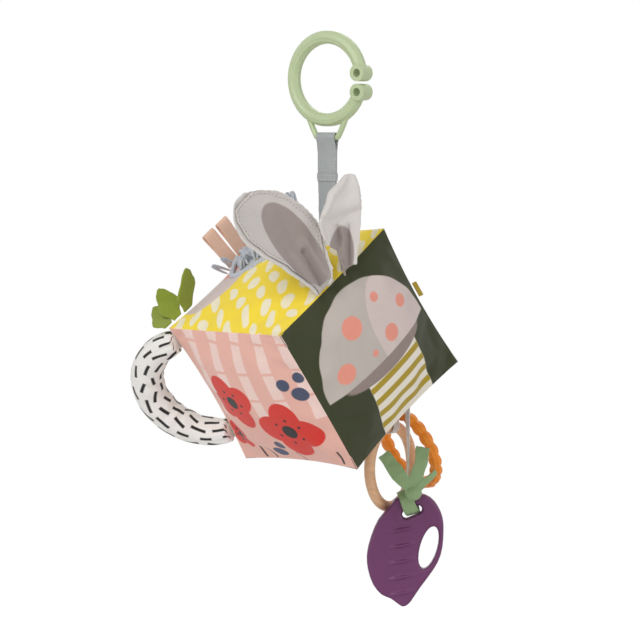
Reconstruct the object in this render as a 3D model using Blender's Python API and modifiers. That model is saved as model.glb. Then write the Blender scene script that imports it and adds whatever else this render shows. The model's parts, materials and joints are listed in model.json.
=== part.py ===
"""Hanging soft fabric block: a stuffed cloth cube on a snap ring, with ears, leaves, a handle and teething rings."""

import math

import bmesh
import bpy
from mathutils import Matrix, Vector

MM = 0.001

# Clearances between pieces that touch on the real object
CLEAR = 0.3 * MM
SEAM_CLEAR = 0.35 * MM

# Snap ring, the eye under it and its two snap barrels
RING_INNER_RADIUS = 22.2 * MM
RING_SECTION = 8.8 * MM
RING_TURN = math.radians(12.6)
BARREL_DIAMETER = 10.8 * MM
BARREL_BORE = 5.4 * MM
BARREL_LENGTH = 10.4 * MM
BARREL_GAP = 1.4 * MM
BARREL_DROP = 2.6 * MM
EYE_WIRE = 3.8 * MM
EYE_OPENING = 4.8 * MM
EYE_BAR_LENGTH = 17.2 * MM
EYE_FOOT_SPREAD = 33.0 * MM
BORE_OVERRUN = 4.0 * MM

# Hanging strap, one webbing folded over the bar of the eye
STRAP_WIDTH = 14.5 * MM
STRAP_THICKNESS = 1.0 * MM
STRAP_DROP = 56.6 * MM
STRAP_NECK = 9.0 * MM

# Block: a cube whose seams bow in and whose faces crown out
BLOCK_SIDE = 110.0 * MM
BLOCK_TILT = math.radians(36.5)
SEAM_BOW = 2.0 * MM
FACE_CROWN = 7.0 * MM
PANEL_THICKNESS = 1.2 * MM
FILLING_GAP = 1.5 * MM

# Rattle inside the filling
RATTLE_DIAMETER = 34.0 * MM
RATTLE_HEIGHT = 30.0 * MM
RATTLE_WALL = 1.6 * MM
LID_PLUG = 3.0 * MM
BEAD_DIAMETER = 7.0 * MM
BEAD_CIRCLE = 17.0 * MM

# Ears
EAR_LENGTH = 79.0 * MM
EAR_WIDTH = 40.0 * MM
EAR_CUP = 7.0 * MM
EAR_ROOT_GAP = 2.2 * MM
EAR_LINING_INSET = 3.0 * MM
PLUSH_THICKNESS = 2.0 * MM
LINING_THICKNESS = 1.2 * MM
LINING_GAP = 0.9 * MM
RIGHT_EAR_LENGTH = 60.0 * MM
RIGHT_EAR_WIDTH = 30.0 * MM
RIGHT_EAR_CUP = 5.0 * MM
RIGHT_EAR_ROOT_GAP = 1.5 * MM

# Pile patch and its border cord on the upper face
PATCH_THICKNESS = 2.6 * MM
BORDER_CORD = 4.0 * MM

# Leaves, ribbon tags and the small label in the seams
LEAF_LENGTH = 25.0 * MM
LEAF_WIDTH = 13.5 * MM
LEAF_THICKNESS = 1.4 * MM
LEAF_CURL = 2.5 * MM
TAG_LENGTH = 27.0 * MM
TAG_WIDTH = 10.0 * MM
TAG_THICKNESS = 0.7 * MM
TAG_FOLD_RADIUS = 1.3 * MM
LABEL_WIDTH = 11.0 * MM
LABEL_LENGTH = 3.2 * MM
LABEL_THICKNESS = 0.8 * MM

# Stuffed handle
HANDLE_DIAMETER = 22.4 * MM
HANDLE_REACH = 39.0 * MM
HANDLE_COVER = 0.8 * MM

# Rings hung from the lowest seam of the right face, places from that seam's middle
WOOD_RING_RADIUS = 26.5 * MM
WOOD_RING_SECTION = 7.6 * MM
WOOD_RING_ASIDE = 2.65 * MM
WOOD_RING_BEHIND = 5.0 * MM
WOOD_RING_DROP = 71.9 * MM
SCALLOP_RING_RADIUS = 26.5 * MM
SCALLOP_SECTION = 8.4 * MM
SCALLOP_DEPTH = 0.9 * MM
SCALLOP_PITCH = 8.5 * MM
SCALLOP_RING_ASIDE = 20.35 * MM
SCALLOP_RING_BEHIND = 11.6 * MM
SCALLOP_RING_DROP = 60.9 * MM
RIBBON_THICKNESS = 0.7 * MM
WOOD_RIBBON_WIDTH = 7.5 * MM
WOOD_RIBBON_ALONG = 4.8 * MM
SCALLOP_RIBBON_WIDTH = 8.0 * MM
RIBBON_NECK = 12.0 * MM

# Teether strap, the ribbon knotted at its end and the teether
LOWER_STRAP_WIDTH = 9.7 * MM
LOWER_STRAP_THICKNESS = 0.8 * MM
LOWER_STRAP_ALONG = -5.2 * MM
TEETHER_ASIDE = 3.5 * MM
TEETHER_AHEAD = 12.7 * MM
TEETHER_DROP = 94.1 * MM
TEETHER_THICKNESS = 10.0 * MM
TEETHER_HEIGHT = 74.5 * MM
TEETHER_WIDTH = 50.2 * MM
SLOT_HEIGHT = 5.5 * MM
BRIDGE_HEIGHT = 8.0 * MM
RIDGE_HEIGHT = 0.7 * MM
KNOT_BAND_WIDTH = 9.5 * MM
BAND_SLACK = 1.4 * MM
KNOT_LENGTH = 12.4 * MM
KNOT_DEPTH = 7.4 * MM
KNOT_HEIGHT = 10.0 * MM
KNOT_RISE = 7.0 * MM
TAIL_THICKNESS = 0.7 * MM
TAIL_WIDTH = 9.0 * MM
TAIL_BELLY = 3.0 * MM

# Seam places, as shares of the block's side along the seam
EAR_PLACE_SHARES = {"left": 0.375, "right": 0.60}
LEAF_PLACE_SHARES = (0.20, 0.11, 0.03)
TAG_PLACE_SHARES = (0.62, 0.72)
LABEL_PLACE_SHARE = 0.45
HANDLE_PLACE_SHARES = (0.11, 0.78)

# Directions in the block's own axes: along the front-to-back seams, up the slope, down the slope
LEAF_DIRECTIONS = (Vector((0.0, 0.37, -0.93)), Vector((0.81, 0.28, -0.52)), Vector((0.94, 0.33, -0.09)))
TAG_DIRECTIONS = (Vector((0.35, 0.0, -0.93)), Vector((0.20, 0.0, -0.98)))
HANDLE_DIRECTION = Vector((0.919, -0.395, 0.0))
LEFT_EAR_DIRECTION = Vector((0.329, 0.0, -0.944))
RIGHT_EAR_DIRECTION = Vector((-0.06, 0.595, -0.80))
RIGHT_EAR_ACROSS = Vector((-0.25, 0.85, 0.46))

WOOD_RING_ACROSS = Vector((0.96, 0.28, 0.0))
SCALLOP_RING_ACROSS = Vector((0.168, 0.986, 0.0))
SCALLOP_RING_UP = Vector((-0.426, 0.073, 0.901))
TEETHER_ACROSS = Vector((0.750, -0.661, 0.0))
TEETHER_FACING = Vector((-0.661, -0.750, 0.0))
SLOT_SLANT = math.radians(23.6)
GRIP_HOLE_SLANT = math.radians(15.5)

# Outlines, as shares of each piece's own width or of the block's side
LEFT_EAR_EDGE_SHARES = (
    ((0.0, 0.08), (0.36, 0.25), (0.57, 0.42), (0.73, 0.48), (0.87, 0.42), (0.95, 0.31), (1.0, 0.12)),
    ((0.0, 0.20), (0.12, 0.50), (0.42, 0.80), (0.57, 0.80), (0.72, 0.73), (0.85, 0.60), (0.94, 0.38), (1.0, 0.12)),
)
RIGHT_EAR_EDGE_SHARES = (
    ((0.0, 0.20), (0.30, 0.35), (0.45, 0.68), (0.60, 0.80), (0.80, 0.50), (1.0, 0.10)),
    ((0.0, 0.24), (0.30, 0.28), (0.60, 0.28), (0.85, 0.20), (1.0, 0.10)),
)
LEAF_WIDTH_SHARES = ((0.0, 0.40), (0.45, 1.0), (0.80, 0.62), (1.0, 0.10))
PATCH_CORNER_SHARES = ((0.73, 0.46), (0.96, 0.66), (0.97, 0.97), (0.33, 0.97))
BORDER_SHARES = ((0.955, 0.615), (0.735, 0.42), (0.52, 0.68), (0.29, 0.955))
TEETHER_OUTLINE_SHARES = (
    (-0.22, 0.12), (-0.30, 0.04), (-0.44, -0.07), (-0.54, -0.23), (-0.59, -0.38), (-0.575, -0.51),
    (-0.51, -0.64), (-0.40, -0.73), (-0.28, -0.765), (-0.19, -0.81), (-0.115, -0.838), (-0.04, -0.81),
    (0.01, -0.765), (0.115, -0.66), (0.22, -0.565), (0.335, -0.445), (0.395, -0.315), (0.41, -0.15),
    (0.395, -0.045), (0.335, 0.05), (0.24, 0.125), (0.09, 0.162), (-0.08, 0.142),
)
GRIP_HOLE_SHARES = (0.215, -0.315)
SLOT_LENGTH_SHARE = 0.279
BRIDGE_TOP_SHARE = 0.1443
GRIP_HOLE_SIZE_SHARES = (0.225, 0.389)
TEETHER_EDGE_SHARE = 0.034
RIDGE_LENGTH_SHARE = 0.398
RIDGE_PITCH_SHARE = 0.1396

# Places worked out from the sizes above
HALF = BLOCK_SIDE / 2
RING_RADIUS = RING_INNER_RADIUS + RING_SECTION / 2
RING_CENTRE = Vector((0.0, 0.0, -RING_INNER_RADIUS))
RING_ACROSS = Vector((math.sin(RING_TURN), -math.cos(RING_TURN), 0.0))
RING_AXIS = Vector((math.cos(RING_TURN), math.sin(RING_TURN), 0.0))
BAR_Z = -2 * RING_INNER_RADIUS - RING_SECTION - EYE_OPENING - EYE_WIRE / 2
HANG_POINT = Vector((0.0, 0.0, BAR_Z - STRAP_DROP))
BLOCK_AXES = Matrix((
    (0.0, math.cos(BLOCK_TILT), math.sin(BLOCK_TILT)),
    (1.0, 0.0, 0.0),
    (0.0, math.sin(BLOCK_TILT), -math.cos(BLOCK_TILT)),
))
BLOCK_CENTRE = Vector((0.0, -HALF, HALF))
WOOD_RING_PLACE = Vector((-WOOD_RING_ASIDE, WOOD_RING_BEHIND, -WOOD_RING_DROP))
SCALLOP_RING_PLACE = Vector((SCALLOP_RING_ASIDE, SCALLOP_RING_BEHIND, -SCALLOP_RING_DROP))
TEETHER_PLACE = Vector((-TEETHER_ASIDE, -TEETHER_AHEAD, -TEETHER_DROP))
SLOT_LENGTH = TEETHER_WIDTH * SLOT_LENGTH_SHARE
GRIP_HOLE_WIDTH = TEETHER_WIDTH * GRIP_HOLE_SIZE_SHARES[0]
GRIP_HOLE_LENGTH = TEETHER_HEIGHT * GRIP_HOLE_SIZE_SHARES[1]
TEETHER_EDGE = TEETHER_WIDTH * TEETHER_EDGE_SHARE
RIDGE_LENGTH = TEETHER_WIDTH * RIDGE_LENGTH_SHARE
RIDGE_PITCH = TEETHER_HEIGHT * RIDGE_PITCH_SHARE
KNOT_RADII = Vector((KNOT_LENGTH, KNOT_DEPTH, KNOT_HEIGHT)) / 2


# Scene and materials

def clear_scene():
    """Remove every object and collection that is in the file."""
    for obj in list(bpy.data.objects):
        bpy.data.objects.remove(obj)
    for group in list(bpy.data.collections):
        bpy.data.collections.remove(group)


def make_group(name):
    """Make a collection in the scene."""
    group = bpy.data.collections.new(name)
    bpy.context.scene.collection.children.link(group)
    return group


def make_material(name, colour, roughness, metallic=0.0):
    """Make a Principled material from a linear colour."""
    material = bpy.data.materials.new(name)
    material.use_nodes = True
    shader = material.node_tree.nodes["Principled BSDF"]
    shader.inputs["Base Color"].default_value = (*colour, 1.0)
    shader.inputs["Roughness"].default_value = roughness
    shader.inputs["Metallic"].default_value = metallic
    return material


def make_frame(group, name, place, axes=None, parent=None):
    """Make an empty that carries pieces; its origin lies on the joint they turn about."""
    empty = bpy.data.objects.new(name, None)
    group.objects.link(empty)
    empty.parent = parent
    empty.location = place
    if axes is not None:
        empty.rotation_euler = axes.to_euler()
    return empty


def add_object(group, name, data, material, frame=None, origin=None):
    """Link an object made in its frame's coordinates, with its own origin at the given point."""
    obj = bpy.data.objects.new(name, data)
    group.objects.link(obj)
    data.materials.append(material)
    if frame is not None:
        obj.parent = frame
    if origin is not None:
        data.transform(Matrix.Translation(-origin))
        obj.location = origin
    return obj


# Shape helpers

def smooth_step(share):
    """Ease from 0 to 1."""
    share = min(max(share, 0.0), 1.0)
    return share * share * (3 - 2 * share)


def table_value(table, share):
    """Read a smooth value from (share, value) pairs."""
    for (low, low_value), (high, high_value) in zip(table, table[1:]):
        if share <= high:
            return low_value + (high_value - low_value) * smooth_step((share - low) / (high - low))
    return table[-1][1]


def smooth_path(points, steps):
    """Points on a Catmull-Rom curve through the given points."""
    ends = [2 * points[0] - points[1], *points, 2 * points[-1] - points[-2]]
    path = []
    for index in range(len(points) - 1):
        before, start, end, after = ends[index:index + 4]
        for step in range(steps):
            share = step / steps
            path.append(0.5 * (
                2 * start
                + (end - before) * share
                + (2 * before - 5 * start + 4 * end - after) * share ** 2
                + (3 * start - before - 3 * end + after) * share ** 3
            ))
    path.append(points[-1].copy())
    return path


def tube_curve(name, points, radius, sides_level=2, shares=None, caps=True):
    """A round tube through points; shares scale its radius at each point."""
    curve = bpy.data.curves.new(name, "CURVE")
    curve.dimensions = "3D"
    curve.bevel_depth = radius
    curve.bevel_resolution = sides_level
    curve.use_fill_caps = caps
    spline = curve.splines.new("POLY")
    spline.points.add(len(points) - 1)
    for index, point in enumerate(points):
        spline.points[index].co = (*point, 1.0)
        spline.points[index].radius = 1.0 if shares is None else shares[index]
    return curve


def mesh_of_curve(name, curve):
    """The curve's tube as a mesh with its caps welded on."""
    holder = bpy.data.objects.new(name, curve)
    bpy.context.scene.collection.objects.link(holder)
    graph = bpy.context.evaluated_depsgraph_get()
    tube = bpy.data.meshes.new_from_object(holder.evaluated_get(graph))
    bpy.data.objects.remove(holder)
    work = bmesh.new()
    work.from_mesh(tube)
    bmesh.ops.remove_doubles(work, verts=work.verts, dist=CLEAR / 10)
    return mesh_from(work, name)


def mesh_from(work, name, closed=True):
    """Turn a bmesh into a mesh; a closed one gets its faces pointing out."""
    if closed:
        work.normal_update()
        bmesh.ops.recalc_face_normals(work, faces=work.faces)
    mesh = bpy.data.meshes.new(name)
    work.to_mesh(mesh)
    work.free()
    return mesh


def sheet_mesh(name, columns, rows, place):
    """An open grid whose corners run over 0 to 1 both ways, set by a place function."""
    work = bmesh.new()
    bmesh.ops.create_grid(work, x_segments=columns, y_segments=rows, size=1.0)
    for vert in work.verts:
        vert.co = place((vert.co.x + 1) / 2, (vert.co.y + 1) / 2)
    return mesh_from(work, name, closed=False)


def thicken(obj, thickness, offset):
    """Give an open sheet its thickness."""
    solidify = obj.modifiers.new("Thickness", "SOLIDIFY")
    solidify.thickness = thickness
    solidify.offset = offset
    solidify.use_even_offset = True


def smooth_shade(mesh, angle=math.radians(40)):
    """Shade round surfaces smooth and keep real edges sharp."""
    mesh.shade_smooth()
    mesh.set_sharp_from_angle(angle=angle)


def turned_mesh(name, profile):
    """A profile of (radius, height) pairs in the XZ plane, for a Screw modifier."""
    mesh = bpy.data.meshes.new(name)
    points = [(radius, 0.0, height) for radius, height in profile]
    mesh.from_pydata(points, [(index, index + 1) for index in range(len(points) - 1)], [])
    return mesh


def turn(obj, steps):
    """Turn the profile into a closed round body."""
    screw = obj.modifiers.new("Turn", "SCREW")
    screw.steps = steps
    screw.render_steps = steps
    screw.use_merge_vertices = True
    screw.merge_threshold = CLEAR / 30


def boolean(obj, other, operation):
    """Join to, or cut from, an object; the other object stays as a hidden helper."""
    modifier = obj.modifiers.new(other.name, "BOOLEAN")
    modifier.operation = operation
    modifier.solver = "EXACT"
    modifier.object = other


def hide_helper(obj):
    """Show a cutter as wires only and leave it out of renders."""
    obj.hide_render = True
    obj.display_type = "WIRE"
    return obj


# Snap ring and strap

def ring_point(across, height):
    """A point in the plane of the snap ring."""
    return RING_ACROSS * across + Vector((0.0, 0.0, height))


def round_bar(name, centre, radius, length, segments=24):
    """A cylinder along the snap ring's axis."""
    turned = Matrix((RING_ACROSS, -Vector((0.0, 0.0, 1.0)), RING_AXIS)).transposed()
    work = bmesh.new()
    bmesh.ops.create_cone(
        work, cap_ends=True, segments=segments, radius1=radius, radius2=radius, depth=length,
        matrix=Matrix.Translation(centre) @ turned.to_4x4(),
    )
    return mesh_from(work, name)


def eye_path():
    """The wire of the eye: foot on the ring, shoulder, corner and bar, then back up."""
    foot_height = RING_CENTRE.z - math.sqrt(RING_RADIUS ** 2 - (EYE_FOOT_SPREAD / 2) ** 2)
    half_bar = EYE_BAR_LENGTH / 2
    shape_shares = ((1.0, 1.0), (0.48, 0.45), (0.08, 0.10))
    side = [
        (half_bar + (EYE_FOOT_SPREAD / 2 - half_bar) * wide, BAR_Z + (foot_height - BAR_Z) * high)
        for wide, high in shape_shares
    ]
    corner_share = 0.88
    side.append((half_bar * corner_share, BAR_Z))
    whole = [(-across, height) for across, height in side] + [(0.0, BAR_Z)] + side[::-1]
    return smooth_path([ring_point(across, height) for across, height in whole], 3)


def make_hanger_ring(group, helpers, material):
    """The C-shaped snap ring, its two barrels with bores and the eye below it, as one moulding."""
    spacing = (BARREL_DIAMETER + BARREL_GAP) / 2
    barrel_heights = (spacing - BARREL_DROP, -spacing - BARREL_DROP)
    start = math.asin(barrel_heights[0] / RING_RADIUS)
    end = 2 * math.pi + math.asin(barrel_heights[1] / RING_RADIUS)
    steps = 44
    angles = [start + (end - start) * index / steps for index in range(steps + 1)]
    arc = [
        ring_point(RING_RADIUS * math.cos(angle), RING_CENTRE.z + RING_RADIUS * math.sin(angle))
        for angle in angles
    ]
    mesh = mesh_of_curve("hanger_ring", tube_curve("ring_arc", arc, RING_SECTION / 2, 3))
    ring = add_object(group, "hanger_ring", mesh, material)
    eye_mesh = mesh_of_curve("eye_wire", tube_curve("eye_curve", eye_path(), EYE_WIRE / 2, 2))
    eye = hide_helper(add_object(helpers, "eye_wire", eye_mesh, material))
    boolean(ring, eye, "UNION")
    bores = []
    for index, height in enumerate(barrel_heights):
        centre = ring_point(RING_RADIUS, RING_CENTRE.z + height)
        barrel_mesh = round_bar(f"barrel_{index}", centre, BARREL_DIAMETER / 2, BARREL_LENGTH)
        barrel = hide_helper(add_object(helpers, f"barrel_{index}", barrel_mesh, material))
        boolean(ring, barrel, "UNION")
        bore_mesh = round_bar(f"bore_{index}", centre, BARREL_BORE / 2, BARREL_LENGTH + BORE_OVERRUN)
        bores.append(hide_helper(add_object(helpers, f"bore_{index}", bore_mesh, material)))
    for bore in bores:
        boolean(ring, bore, "DIFFERENCE")
    smooth_shade(mesh)
    return ring


def loop_ribbon_mesh(name, start, end, ways, width, thickness, core, neck):
    """A ribbon folded double from a seam at start round a bar centred at end, turning on its way."""
    along_way = (end - start).normalized()
    length = (end - start).length
    layer = (thickness + CLEAR) / 2
    loop = core + CLEAR + thickness / 2
    flare_share = 0.72
    side = [(layer, (length - neck) * index / 6) for index in range(7)]
    side.append((loop * flare_share, length - loop))
    side += [
        (loop * math.cos(angle), length + loop * math.sin(angle))
        for angle in (math.radians(degrees) for degrees in (0, 45))
    ]
    whole = side + [(0.0, length + loop)] + [(-out, along) for out, along in side[::-1]]
    path = smooth_path([Vector((out, along, 0.0)) for out, along in whole], 2)

    def place(first, second):
        point = path[round(first * (len(path) - 1))]
        across = ways[0].lerp(ways[1], smooth_step(point.y / (length - neck))).normalized()
        out_way = along_way.cross(across).normalized()
        return start + along_way * point.y + out_way * point.x + across * (second - 0.5) * width

    return sheet_mesh(name, len(path) - 1, 2, place)


def make_hanging_strap(group, frame, material):
    """The webbing strap, turned a little between the bar and the seam of the block."""
    drop = STRAP_DROP + SEAM_BOW * (math.sin(BLOCK_TILT) + math.cos(BLOCK_TILT)) - SEAM_CLEAR
    start = Vector((0.0, 0.0, -drop))
    ways = (Vector((0.0, -1.0, 0.0)), RING_ACROSS)
    mesh = loop_ribbon_mesh(
        "hanging_strap", start, Vector(), ways, STRAP_WIDTH, STRAP_THICKNESS, EYE_WIRE / 2, STRAP_NECK,
    )
    strap = add_object(group, "hanging_strap", mesh, material, frame)
    thicken(strap, STRAP_THICKNESS, 0.0)
    return strap


# Block: panels, filling and rattle

def pillow_point(unit, lift=0.0):
    """A point on the block, in its own axes, from a point of the unit cube; lift is outward."""
    mapped = []
    for axis in range(3):
        first, second = (1 - unit[(axis + step) % 3] ** 2 for step in (1, 2))
        bow = SEAM_BOW / HALF * (first + second - 2 * first * second)
        mapped.append(unit[axis] * (1 - bow + FACE_CROWN / HALF * first * second))
    return BLOCK_CENTRE + (HALF + lift) * Vector(mapped)


def shell_mesh(name, columns, rows, place):
    """A closed body between two layers of a grid; place takes 0 to 1 both ways and the layer, 0 or 1."""
    work = bmesh.new()
    bmesh.ops.create_grid(work, x_segments=columns, y_segments=rows, size=1.0)
    raised = bmesh.ops.extrude_face_region(work, geom=work.faces[:])
    for item in raised["geom"]:
        if isinstance(item, bmesh.types.BMVert):
            item.co.z = 1.0
    for vert in work.verts:
        vert.co = place((vert.co.x + 1) / 2, (vert.co.y + 1) / 2, vert.co.z)
    return mesh_from(work, name)


def make_panel(group, frame, name, axis, side, material):
    """One cloth face of the block, its edge mitred towards the block's centre."""
    limit = 1 - CLEAR / (math.sqrt(2) * HALF)

    def place(first, second, layer):
        unit = [0.0, 0.0, 0.0]
        unit[axis] = side
        unit[(axis + 1) % 3] = (2 * first - 1) * limit
        unit[(axis + 2) % 3] = (2 * second - 1) * limit
        return pillow_point(unit, -PANEL_THICKNESS * layer)

    mesh = shell_mesh(name, 10, 10, place)
    smooth_shade(mesh)
    return add_object(group, name, mesh, material, frame)


def make_foam_core(group, helpers, frame, material):
    """The filling, with a pocket from the upper face down to the rattle."""
    work = bmesh.new()
    bmesh.ops.create_cube(work, size=2.0)
    bmesh.ops.subdivide_edges(work, edges=work.edges[:], cuts=9, use_grid_fill=True)
    for vert in work.verts:
        vert.co = pillow_point(vert.co, -PANEL_THICKNESS - FILLING_GAP)
    mesh = mesh_from(work, "foam_core")
    smooth_shade(mesh)
    core = add_object(group, "foam_core", mesh, material, frame)
    bottom = BLOCK_CENTRE.z + RATTLE_HEIGHT / 2 + CLEAR
    top = -FACE_CROWN - BORE_OVERRUN
    cutter_work = bmesh.new()
    radius = RATTLE_DIAMETER / 2 + CLEAR
    middle = Vector((BLOCK_CENTRE.x, BLOCK_CENTRE.y, (top + bottom) / 2))
    bmesh.ops.create_cone(
        cutter_work, cap_ends=True, segments=24, radius1=radius, radius2=radius,
        depth=bottom - top, matrix=Matrix.Translation(middle),
    )
    cutter = mesh_from(cutter_work, "rattle_pocket")
    pocket = hide_helper(add_object(helpers, "rattle_pocket", cutter, material, frame))
    boolean(core, pocket, "DIFFERENCE")
    return core


def make_rattle(group, frame, shell, bead_material):
    """A capped cup with three loose beads, its open end towards the upper face."""
    outer = RATTLE_DIAMETER / 2
    floor = RATTLE_HEIGHT / 2
    rim = -floor + RATTLE_WALL + CLEAR
    capsule = make_frame(group, "rattle_frame", BLOCK_CENTRE, parent=frame)
    bore = outer - RATTLE_WALL
    cup_profile = [(0.0, floor), (outer, floor), (outer, rim), (bore, rim),
                   (bore, floor - RATTLE_WALL), (0.0, floor - RATTLE_WALL)]
    cup = add_object(group, "rattle_cup", turned_mesh("rattle_cup", cup_profile), shell, capsule)
    turn(cup, 24)
    plug = bore - CLEAR
    lid_profile = [(0.0, rim + LID_PLUG), (plug, rim + LID_PLUG), (plug, rim - CLEAR),
                   (outer, rim - CLEAR), (outer, -floor), (0.0, -floor)]
    lid = add_object(group, "rattle_lid", turned_mesh("rattle_lid", lid_profile), shell, capsule)
    turn(lid, 24)
    rest = floor - RATTLE_WALL - CLEAR - BEAD_DIAMETER / 2
    for index in range(3):
        angle = 2 * math.pi * index / 3
        spot = Vector((math.cos(angle), math.sin(angle), 0.0)) * BEAD_CIRCLE / 2
        work = bmesh.new()
        bmesh.ops.create_uvsphere(work, u_segments=10, v_segments=6, radius=BEAD_DIAMETER / 2)
        mesh = mesh_from(work, f"rattle_bead_{index + 1}")
        smooth_shade(mesh)
        bead = add_object(group, mesh.name, mesh, bead_material, capsule)
        bead.location = spot + Vector((0.0, 0.0, rest))


# Ears

SEAM_WAY = Vector((0.0, 1.0, 0.0))


def seam_place(unit, outward, gap):
    """A point just off a seam of the block."""
    return pillow_point(unit) + outward.normalized() * gap


def ear_mesh(name, base, length, width, edges, ways, cup, near, far, inset):
    """One layer of an ear: near and far are its faces' distances along the ear's normal."""
    along_way, root_across, tip_across = (way.normalized() for way in ways)

    def place(first, second, layer):
        share = second * (1 - inset / length)
        left = -table_value(edges[0], share) * width
        right = table_value(edges[1], share) * width
        spread = max(1 - 2 * inset / (right - left), inset / width)
        sideways = (left + right) / 2 + (first - 0.5) * (right - left) * spread
        reach = (2 * sideways - left - right) / (right - left)
        across = root_across.lerp(tip_across, smooth_step(share)).normalized()
        normal = across.cross(along_way).normalized()
        out = cup * reach * reach * (1 - share * 0.6) + near + (far - near) * layer
        return base + along_way * length * share + across * sideways + normal * out

    mesh = shell_mesh(name, 8, 13, place)
    smooth_shade(mesh)
    return mesh


def make_ears(group, frame, plush, lining):
    """Both ears, each a plush back and a lining, sewn into the seam over the front face."""
    out = Vector((-1.0, 0.0, -1.0))
    sides = (
        ("left", EAR_LENGTH, EAR_WIDTH, LEFT_EAR_EDGE_SHARES, EAR_CUP, EAR_ROOT_GAP,
         (LEFT_EAR_DIRECTION, SEAM_WAY, SEAM_WAY), 1),
        ("right", RIGHT_EAR_LENGTH, RIGHT_EAR_WIDTH, RIGHT_EAR_EDGE_SHARES, RIGHT_EAR_CUP, RIGHT_EAR_ROOT_GAP,
         (RIGHT_EAR_DIRECTION, SEAM_WAY, RIGHT_EAR_ACROSS), -1),
    )
    for side, length, width, edges, cup, gap, ways, front in sides:
        base = seam_place((-1.0, 2 * EAR_PLACE_SHARES[side] - 1, -1.0), out, gap)
        pivot = make_frame(group, f"ear_{side}_frame", base, parent=frame)
        half_gap = LINING_GAP / 2 * front
        plush_far = -half_gap - PLUSH_THICKNESS * front
        lining_far = half_gap + LINING_THICKNESS * front
        zero = Vector()
        back = ear_mesh(f"ear_{side}_plush", zero, length, width, edges, ways, cup, -half_gap, plush_far, 0.0)
        face = ear_mesh(
            f"ear_{side}_lining", zero, length, width, edges, ways, cup, half_gap, lining_far, EAR_LINING_INSET,
        )
        add_object(group, back.name, back, plush, pivot)
        add_object(group, face.name, face, lining, pivot)


# Trims on the block

def upper_face_point(along, up, lift):
    """A point over the upper face from shares of the block's side, front to back and up the slope."""
    return pillow_point((2 * along - 1, 2 * up - 1, -1.0), lift)


def make_patch(group, frame, pile, cord_material):
    """The pile patch by the top corner, and the cord along its lower edges."""
    first_low, first_high, second_high, second_low = PATCH_CORNER_SHARES

    def place(first, second, layer):
        low = [a + (b - a) * first for a, b in zip(first_low, second_low)]
        high = [a + (b - a) * first for a, b in zip(first_high, second_high)]
        along, up = (a + (b - a) * second for a, b in zip(low, high))
        return upper_face_point(along, up, CLEAR + PATCH_THICKNESS * layer)

    mesh = shell_mesh("chenille_patch", 9, 7, place)
    smooth_shade(mesh)
    add_object(group, "chenille_patch", mesh, pile, frame)
    lift = CLEAR + BORDER_CORD / 2
    corners = [Vector((along, up, 0.0)) for along, up in BORDER_SHARES]
    route = [upper_face_point(point.x, point.y, lift) for point in smooth_path(corners, 5)]
    cord = mesh_of_curve("patch_border", tube_curve("border_curve", route, BORDER_CORD / 2, 1))
    smooth_shade(cord)
    add_object(group, "patch_border", cord, cord_material, frame)


def make_leaves(group, frame, material):
    """Three cloth leaves sewn into the seam between the upper and back faces."""
    out = Vector((1.0, 0.0, -1.0))
    for index, (share, way) in enumerate(zip(LEAF_PLACE_SHARES, LEAF_DIRECTIONS)):
        base = seam_place((1.0, 2 * share - 1, -1.0), out, CLEAR + LEAF_THICKNESS / 2)
        along_way = way.normalized()
        normal = SEAM_WAY.cross(along_way).normalized()

        def place(first, second):
            side = (first - 0.5) * LEAF_WIDTH * table_value(LEAF_WIDTH_SHARES, second)
            curl = normal * LEAF_CURL * second * second
            return along_way * LEAF_LENGTH * second + SEAM_WAY * side + curl

        leaf = add_object(group, f"leaf_{index + 1}", sheet_mesh("leaf", 4, 7, place), material, frame)
        leaf.location = base
        thicken(leaf, LEAF_THICKNESS, 0.0)
        smooth_shade(leaf.data)


def make_tags(group, frame, material):
    """Two ribbon tags, each a ribbon folded double, in the same seam as the leaves."""
    out = Vector((1.0, 0.0, -1.0))
    layer = (TAG_THICKNESS + CLEAR) / 2
    side = [(layer, 0.0), (layer, TAG_LENGTH / 2), (TAG_FOLD_RADIUS, TAG_LENGTH - 2 * TAG_FOLD_RADIUS)]
    outline = side + [(0.0, TAG_LENGTH)] + [(-off, along) for off, along in side[::-1]]
    path = smooth_path([Vector((off, along, 0.0)) for off, along in outline], 3)
    for index, (share, way) in enumerate(zip(TAG_PLACE_SHARES, TAG_DIRECTIONS)):
        base = seam_place((1.0, 2 * share - 1, -1.0), out, CLEAR + layer + TAG_THICKNESS / 2)
        along_way = way.normalized()
        normal = SEAM_WAY.cross(along_way).normalized()

        def place(first, second):
            point = path[round(first * (len(path) - 1))]
            return along_way * point.y + normal * point.x + SEAM_WAY * (second - 0.5) * TAG_WIDTH

        mesh = sheet_mesh("ribbon_tag", len(path) - 1, 2, place)
        tag = add_object(group, f"ribbon_tag_{index + 1}", mesh, material, frame)
        tag.location = base
        thicken(tag, TAG_THICKNESS, 0.0)


def box_mesh(name, axes, sizes):
    """A box about the origin with its edges along three given directions."""
    turned = Matrix([axis.normalized() for axis in axes]).transposed().to_4x4()
    work = bmesh.new()
    bmesh.ops.create_cube(work, size=1.0, matrix=turned @ Matrix.Diagonal((*sizes, 1.0)))
    return mesh_from(work, name)


def make_side_label(group, frame, material):
    """A small bare label in the seam between the front and right faces."""
    out = Vector((-1.0, 1.0, 0.0))
    base = seam_place((-1.0, 1.0, 2 * LABEL_PLACE_SHARE - 1), out, CLEAR + LABEL_LENGTH / 2)
    down = Vector((0.0, 0.0, 1.0))
    mesh = box_mesh("side_label", (out, down, out.cross(down)), (LABEL_LENGTH, LABEL_WIDTH, LABEL_THICKNESS))
    label = add_object(group, "side_label", mesh, material, frame)
    label.location = base


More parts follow.
